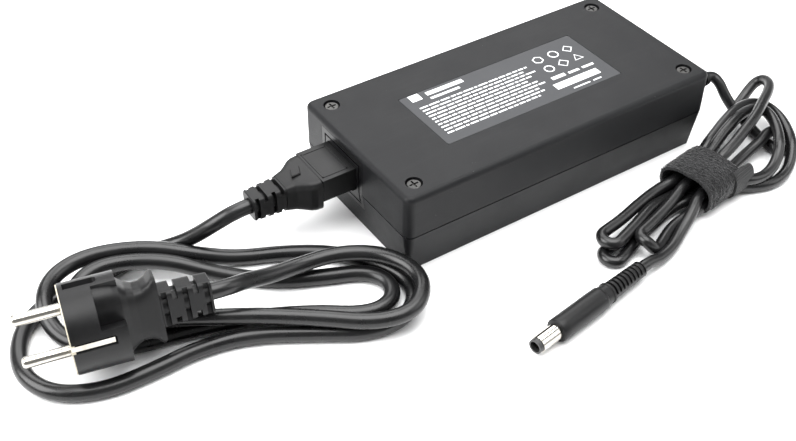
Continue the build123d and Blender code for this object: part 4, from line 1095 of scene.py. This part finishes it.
@dataclass
class Hank:
    """The output cord: its exit, its turns through the tie, and its tail to the plug."""

    diameter: float = 0.0055
    length: float = 1.17
    centre: tuple[float, float] = (61.0, -72.0)
    turn: float = 9.0
    reach: float = 11.0
    bend: float = 4.4
    low: float = 4.7
    high: float = 10.1

    def strand(self, aside: float, height: float, way: int) -> list[Triple]:
        """Two points where a strand passes the tie, in millimetres.

        Args:
            aside: the strand's place across the tie.
            height: its height.
            way: 1 towards the large loops, -1 towards the folds.

        Returns:
            The point where it enters and the point where it leaves.
        """
        k = math.radians(self.turn)
        along = (math.cos(k), math.sin(k))
        across = (-math.sin(k), math.cos(k))
        return [(self.centre[0] + along[0] * end * self.reach + across[0] * aside,
                 self.centre[1] + along[1] * end * self.reach + across[1] * aside, height)
                for end in (-way, way)]

    def ring(self, centre: tuple[float, float], radius: float, angles: list[float],
             heights: list[float]) -> list[Triple]:
        """Control points round a circle that the curve follows closely, in millimetres.

        A quadratic spline touches the middle of each side of its polygon. Points 45 degrees apart
        stand out by 1 / cos(22.5), so that the curve keeps the wanted radius.

        Args:
            centre: the circle's middle.
            radius: the bend's radius.
            angles: where the points are, in degrees.
            heights: their heights.

        Returns:
            The points.
        """
        out = radius / math.cos(math.radians(22.5))
        return [(centre[0] + out * math.cos(math.radians(a)), centre[1] + out * math.sin(math.radians(a)), z)
                for a, z in zip(angles, heights)]

    def fold(self, tip: tuple[float, float], angle: float, heights: list[float]) -> list:
        """A tight fold whose cord comes in on its near side, in millimetres.

        Args:
            tip: the fold's far end.
            angle: the direction of its strands in degrees.
            heights: the six heights.

        Returns:
            The six points round it.
        """
        k = math.radians(angle)
        middle = (tip[0] + self.bend * math.cos(k), tip[1] + self.bend * math.sin(k))
        angles = [angle + 180 + turn for turn in (112.5, 67.5, 22.5, -22.5, -67.5, -112.5)]
        return self.ring(middle, self.bend, angles, heights)

    def turns(self) -> list[Triple]:
        """All the points between the exit and the tail, in metres.

        The cord makes a small turn under the large loops, then passes the tie seven times: three folds
        on its left, and two large loops and one narrow raised loop on its right.
        """
        low, high = self.low, self.high
        made = [(118, -46, 5.4), (117.6, -54, 2.9), (116, -61, 2.9)]
        made += self.ring((121.3, -69), 5.8, [157.5, 202.5, 247.5, 292.5, 337.5, 22.5, 67.5],
                          [2.9, 2.9, 2.9, 2.9, 3.0, 3.8, 6.8])
        made += [(116.5, -63.2, 8.4), (109, -66.2, 8.2), (99.5, -67.2, 6), (88, -69.5, 4.4)]
        made += self.strand(-3.5, low, -1)
        made += [(38, -76, 3.2), (24, -79.5, 2.9), (13, -82.5, 2.9)]
        made += self.fold((-9, -85.5), 9, [2.9] * 6)
        made += [(10, -79, 2.9), (24, -73, 2.9), (37, -66.5, 3.2)]
        made += self.strand(10.5, low, 1)
        made += [(80, -56, 10.4), (89, -52.5, 11.6), (99, -49, 13), (110, -45.5, 13.8), (120.5, -43.5, 12.2),
                 (129.5, -44, 9.6), (133, -50, 8.6), (128.5, -62, 10), (120.5, -75, 9.8), (114, -82, 6),
                 (105.5, -87, 2.9), (93.5, -89, 2.9), (83, -85, 2.9)]
        made += self.strand(-10.5, low, -1)
        made += [(39, -84, 3.2), (29, -86, 2.9)]
        made += self.fold((9, -89.5), 12, [2.9, 4.2, 8.6, 8.6, 8.6, 8.6])
        made += [(28, -80, 8.6), (39, -76.5, 9.6)]
        made += self.strand(1.5, high + 1, 1)
        made += [(78, -69, 14), (89, -66, 15.5), (100.5, -62, 17), (112, -57.5, 18), (122, -52, 18),
                 (131.5, -47, 17.6), (139, -41.5, 16.4), (143, -34.5, 14), (141, -31.5, 11.2),
                 (137, -31.5, 8.4), (132, -32.5, 5.2), (123.5, -35.5, 2.9), (111.5, -40, 2.9),
                 (96, -48, 3.4)]
        made += self.strand(3.5, low, -1)
        made += [(39, -72, 6.5), (27, -74, 8.6), (14, -79, 8.4)]
        made += self.fold((-6, -80.5), 14, [8.4] * 6)
        made += [(10, -73, 8.4), (25, -69, 8.6), (38, -66.5, 8.8)]
        made += self.strand(7.0, high, 1)
        made += [(79, -61, 12), (88, -57.5, 14), (97.5, -54.5, 15.6), (110, -50.5, 15), (119.5, -49, 13),
                 (125, -52, 12), (123, -59, 12.4), (117, -68, 13), (110.5, -75.5, 12.6), (105.5, -80, 9),
                 (97.5, -84, 7), (88, -86, 7), (77.5, -84, 8.6)]
        made += self.strand(-7.0, high, -1)
        made += [(41, -87, 8.2)]
        return [(x * MM, y * MM, z * MM) for x, y, z in made]

    def build(self, shelf: Shelf, end: list, ends: list) -> Piece:
        """Args:
            shelf: the finishes by name.
            end: the cord's last points, at its plug.
            ends: the pieces at its end.

        Returns:
            The cord.
        """
        points = DC_EXIT + self.turns() + DC_TAIL + end
        piece = cord_curve("output_cord", points, self.diameter, shelf["cord_black"])
        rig.ride(piece, ADAPTER)
        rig.slot(piece, "cord_rubber")
        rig.replaces(piece, "dc_exit_cord", "dc_hank", "dc_tail_cord")
        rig.cord(piece, exit=DC_EXIT[0], length=self.length, diameter=self.diameter, far_end="plug",
                stiffness="medium", lay="coiled",
                with_pieces=["output_bushing", *ends, "dc_plug_barrel", "dc_plug_tip"])
        return piece


@dataclass
class Tie:
    """The hook-and-loop band round the hank: a fuzzy arch and its ribbed tab."""

    centre: tuple[float, float] = (61.0, -72.0)
    turn: float = 9.0
    width: float = 24.0
    span: float = 31.0
    height: float = 18.3
    thickness: float = 1.8
    tab: float = 14.0

    def frame(self) -> Matrix:
        """The tie's frame: x along the hank, on the floor."""
        return frame_at((*self.centre, 0.0), self.turn)

    def section(self, count: int, grow: float) -> np.ndarray:
        """The band's closed section, as Y and Z.

        It is an ellipse arch over a flat foot: |2y/span|^2.7 + |2(z - h/2)/h|^2.7 = 1.

        Args:
            count: points round it.
            grow: how far it stands out from the band's own section.

        Returns:
            The points, two columns.
        """
        angle = np.linspace(0, 2 * math.pi, count, endpoint=False)
        half_w = self.span / 2 + grow
        half_h = self.height / 2 + grow
        y, z = super_ring(angle, np.array([half_w]), np.array([half_h]), np.array([2.7]))
        flat = np.maximum(z[0] + self.height / 2, 0.05 - min(grow, 0.0))
        return np.stack([y[0], flat], axis=-1)

    def build_band(self, shelf: Shelf) -> Piece:
        """Builds the band: outer and inner skins joined at two rims, with a lumpy outer skin."""
        count, rows = 220, 48
        x = np.linspace(-self.width / 2, self.width / 2, rows)
        draw = np.random.default_rng(3)
        lumps = draw.normal(size=(rows, count))
        for _ in range(2):
            lumps = (lumps + np.roll(lumps, 1, 1) + np.roll(lumps, -1, 1)) / 3
        swell = 0.22 * lumps + 0.35 * np.sin(np.linspace(0, math.pi, rows))[:, None]
        outer, inner = self.section(count, -0.45), self.section(count, -self.thickness)
        bow = np.linspace(0, 2 * math.pi, count, endpoint=False)
        edge = 0.9 * np.sin(2 * bow + 0.6) + 0.4 * np.sin(5 * bow)
        unit = outer - outer.mean(axis=0)
        unit = unit / np.linalg.norm(unit, axis=1, keepdims=True)
        skins = []
        for section, lump in ((outer, swell), (inner, np.zeros_like(swell))):
            flat = section[None] + unit[None] * lump[..., None]
            flat[..., 1] = np.maximum(flat[..., 1], 0.05)
            along = x[:, None] * (1 - 0.03 * np.cos(bow))[None] + edge[None] * (x / self.width)[:, None]
            skins.append(np.concatenate([along[..., None], flat], axis=-1))
        cloud = np.concatenate([skins[0], skins[1][::-1]]).reshape(-1, 3)
        faces = hoop_faces(2 * rows, count)
        band = mesh_object("tie_band", placed(cloud * MM, self.frame()), faces, shelf["loop_pile"], 60.0)
        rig.ride(band, ADAPTER)
        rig.slot(band, "hook_and_loop")
        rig.replaces(band, "cable_tie")
        return band

    def build_fuzz(self, shelf: Shelf) -> Piece:
        """Builds the loops of the pile: small arched threads that stand on the band's outside.

        A loop is a half circle of radius r in a plane through the band's normal, with a three-sided
        section. Its place, size and turn come from a seeded draw.
        """
        loops, arc, sides = 2600, 6, 3
        draw = np.random.default_rng(11)
        section = self.section(720, -0.25)
        pick = draw.integers(0, 720, loops)
        keep = section[pick, 1] > 1.0
        pick = pick[keep]
        count = len(pick)
        base = section[pick]
        after = section[(pick + 2) % 720] - section[(pick - 2) % 720]
        after = after / np.linalg.norm(after, axis=1, keepdims=True)
        normal = np.stack([np.zeros(count), after[:, 1], -after[:, 0]], axis=-1)
        along = np.stack([np.zeros(count), after[:, 0], after[:, 1]], axis=-1)
        cross = np.tile([1.0, 0.0, 0.0], (count, 1))
        x = draw.uniform(-self.width / 2 + 0.2, self.width / 2 - 0.2, count)
        origin = np.concatenate([x[:, None], base], axis=-1)
        spin = draw.uniform(0, math.pi, count)[:, None]
        lean = along * np.cos(spin) + cross * np.sin(spin)
        bend = np.linspace(0, math.pi, arc)[None, :, None]
        radius = draw.uniform(0.2, 0.5, count)[:, None, None]
        line = origin[:, None] + radius * (np.cos(bend) * lean[:, None] + np.sin(bend) * normal[:, None])
        third = np.cross(lean, normal)
        out = np.cos(bend) * lean[:, None] + np.sin(bend) * normal[:, None]
        phase = (2 * math.pi * np.arange(sides) / sides)[None, None, :, None]
        ring = 0.055 * (np.cos(phase) * out[:, :, None] + np.sin(phase) * third[:, None, None])
        cloud = (line[:, :, None] + ring).reshape(-1, 3)
        faces = []
        for i in range(count):
            faces.extend(tube_faces(arc, sides, i * arc * sides))
        fuzz = mesh_object("tie_pile", placed(cloud * MM, self.frame()), faces, shelf["loop_pile"], 60.0)
        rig.ride(fuzz, ADAPTER)
        return fuzz

    def build_tab(self, shelf: Shelf) -> Piece:
        """Builds the tab: a rounded strip on the band's near side, with its own UV map.

        The strip follows the band's section, half a millimetre outside it, from the crown's near shoulder
        down to the floor, and its corners are rounded where its width shrinks as a superellipse.
        """
        rows, columns = 44, 30
        around = np.radians(np.linspace(148, 236, rows))
        half_w, half_h = self.span / 2 + 0.5, self.height / 2 + 0.5
        y, z = super_ring(around, np.array([half_w]), np.array([half_h]), np.array([2.7]))
        z = np.maximum(z + self.height / 2, 1.0)
        t = np.linspace(-1, 1, rows)
        wide = self.tab / 2 * (1 - np.abs(t) ** 9) ** (1 / 5)
        u = np.linspace(-1, 1, columns)
        x = self.width / 2 + 1.0 + wide[:, None] * u[None] + 0.04 * y[0][:, None]
        outer = np.stack([x, np.repeat(y.T, columns, 1), np.repeat(z.T, columns, 1)], axis=-1)
        centre = np.array([0.0, 0.0, self.height / 2])
        push = outer - centre
        push[..., 0] = 0
        push = push / np.linalg.norm(push, axis=-1, keepdims=True)
        crown = 0.25 * (1 - np.abs(u) ** 6)[None, :, None]
        top = outer + push * (0.45 + crown)
        foot = outer - push * 0.5
        top[..., 2] = np.maximum(top[..., 2], 0.3)
        foot[..., 2] = np.maximum(foot[..., 2], 0.25)
        cloud = np.concatenate([top.reshape(-1, 3), foot.reshape(-1, 3)])
        size = rows * columns
        faces = []
        for r in range(rows - 1):
            for c in range(columns - 1):
                a = r * columns + c
                quad = (a, a + 1, a + columns + 1, a + columns)
                faces.append(quad)
                faces.append(tuple(size + q for q in quad[::-1]))
        rim = [r * columns for r in range(rows)]
        rim += [(rows - 1) * columns + c for c in range(1, columns)]
        rim += [r * columns + columns - 1 for r in range(rows - 2, -1, -1)]
        rim += list(range(columns - 2, 0, -1))
        for a, b in zip(rim, rim[1:] + rim[:1]):
            faces.append((b + size, b, a, a + size)[::-1])
        tab = mesh_object("tie_tab", placed(cloud * MM, self.frame()), faces, shelf["hook_weave"], 50.0)
        grid = np.stack(np.meshgrid((t + 1) / 2, (u + 1) / 2, indexing="ij"), axis=-1).reshape(-1, 2)
        layer = tab.data.uv_layers.new(name="band")
        corner = np.empty(len(tab.data.loops), dtype=np.int32)
        tab.data.loops.foreach_get("vertex_index", corner)
        layer.data.foreach_set("uv", np.concatenate([grid, grid])[corner].ravel())
        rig.ride(tab, ADAPTER)
        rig.slot(tab, "hook_and_loop")
        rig.replaces(tab, "cable_tie_tab")
        return tab


@dataclass
class MainsCord:
    """The mains cord, from the connector round its three loops to the wall plug."""

    diameter: float = 0.0072
    length: float = 1.115

    def build(self, shelf: Shelf, end: list, ends: list) -> Piece:
        """Args:
            shelf: the finishes by name.
            end: the cord's last points, at the wall plug.
            ends: the pieces on it.

        Returns:
            The cord.
        """
        piece = cord_curve("mains_cord_line", MAINS_ROUTE + end, self.diameter, shelf["cord_black"])
        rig.ride(piece, MAINS_LEAD)
        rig.slot(piece, "cord_rubber")
        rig.replaces(piece, "mains_cord")
        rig.cord(piece, exit=MAINS_ROUTE[0], length=self.length, diameter=self.diameter, far_end="plug",
                stiffness="medium", lay="loose", with_pieces=ends)
        return piece


@dataclass
class Studio:
    """The pale floor, the soft lights and the camera."""

    position: Triple = (-0.29871, -0.34571, 0.35904)
    azimuth: float = -34.16
    elevation: float = 41.47
    roll: float = 0.63
    focal: float = 52.46
    floor: float = 6.0

    def build_floor(self, shelf: Shelf) -> None:
        """Makes the floor as a wide square that rises far behind in a smooth sweep."""
        count = 60
        side = np.linspace(-self.floor, self.floor, count)
        x, y = np.meshgrid(side, side, indexing="ij")
        far = np.hypot(x, y)
        z = 0.25 * np.clip(far - 2.5, 0, None) ** 2 - 0.0001
        cloud = np.stack([x, y, z], axis=-1).reshape(-1, 3)
        index = np.arange(count * count).reshape(count, count)
        quads = np.stack([index[:-1, :-1], index[1:, :-1], index[1:, 1:], index[:-1, 1:]], axis=-1)
        faces = [tuple(q) for q in quads.reshape(-1, 4).tolist()]
        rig.stage(mesh_object("studio_floor", cloud, faces, shelf["floor_white"]))

    def light(self, name: str, place: Triple, size: tuple[float, float],
              power: float) -> None:
        """Adds one soft panel that points at the object.

        Args:
            name: the light's name.
            place: where it hangs, in metres.
            size: its width and height.
            power: its power in watts.
        """
        data = bpy.data.lights.new(name, "AREA")
        data.shape = "RECTANGLE"
        data.size, data.size_y = size
        data.energy = power
        lamp = bpy.data.objects.new(name, data)
        lamp.location = place
        aim = Vector((0.0, -0.03, 0.02)) - Vector(place)
        lamp.rotation_euler = aim.to_track_quat("-Z", "Y").to_euler()
        bpy.context.scene.collection.objects.link(lamp)

    def build_camera(self) -> None:
        """Places the camera from its position, its direction and its roll."""
        a, e, r = (math.radians(v) for v in (self.azimuth, self.elevation, self.roll))
        back = Vector((math.sin(a) * math.cos(e), -math.cos(a) * math.cos(e), math.sin(e)))
        right = Vector((0, 0, 1)).cross(back).normalized()
        up = back.cross(right)
        turned = math.cos(r) * right + math.sin(r) * up
        raised = -math.sin(r) * right + math.cos(r) * up
        matrix = Matrix((turned, raised, back)).transposed().to_4x4()
        matrix.translation = self.position
        data = bpy.data.cameras.new("camera")
        data.lens = self.focal
        data.sensor_width = 36.0
        data.clip_start = 0.01
        camera = bpy.data.objects.new("camera", data)
        camera.matrix_world = matrix
        bpy.context.scene.collection.objects.link(camera)
        bpy.context.scene.camera = camera

    def build(self, shelf: Shelf) -> None:
        """Builds the floor, the lights, the surrounding glow and the camera."""
        self.build_floor(shelf)
        self.light("panel_back", (0.35, 0.95, 0.95), (1.5, 0.7), 15.0)
        self.light("panel_left", (-1.0, 0.25, 0.75), (0.9, 0.9), 22.0)
        self.light("panel_top", (0.1, -0.1, 1.5), (1.4, 1.4), 44.0)
        self.light("panel_right", (0.9, -0.7, 0.7), (0.8, 0.8), 5.0)
        world = bpy.data.worlds.new("studio")
        world.use_nodes = True
        world.node_tree.nodes["Background"].inputs["Color"].default_value = (1.0, 1.0, 1.0, 1.0)
        world.node_tree.nodes["Background"].inputs["Strength"].default_value = 0.30
        bpy.context.scene.world = world
        bpy.context.scene.view_settings.view_transform = "Standard"
        self.build_camera()


def main() -> None:
    """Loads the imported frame, builds every sub-assembly and writes the sizes."""
    logging.basicConfig(level=logging.INFO, format="%(name)s: %(message)s")
    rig.load()
    cad_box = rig.bounds()
    build_groups()
    finishes = [v for v in globals().values() if isinstance(v, Finish)]
    shelf = {finish.name: finish.make() for finish in finishes}
    Studio().build(shelf)
    Case().build(shelf)
    LOG.info("case dressed and printed")
    connector = MainsConnector()
    connector.build_rim(shelf)
    grip = connector.build(shelf)
    dress("c13_insert", shelf["plug_black"])
    dress("c13_contacts", shelf["nickel"])
    plug = WallPlug()
    shell = plug.build(shelf)
    contacts = ["wall_plug_face", "wall_plug_pin_upper", "wall_plug_pin_lower", "wall_plug_earth_clips"]
    MainsCord().build(shelf, plug.cord_end(), [grip, shell, "c13_insert", *contacts])
    LOG.info("mains lead laid")
    barrel = BarrelPlug()
    ends = barrel.build(shelf)
    tie = Tie()
    band = [tie.build_band(shelf), tie.build_fuzz(shelf), tie.build_tab(shelf)]
    Hank().build(shelf, barrel.cord_end(), ends + band)
    LOG.info("output lead wound and tied")
    look_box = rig.bounds()
    with open("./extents.json", "w") as file:
        json.dump({"cad": [list(map(float, c)) for c in cad_box],
                   "look": [list(map(float, c)) for c in look_box]}, file)


if __name__ == "__main__":
    main()
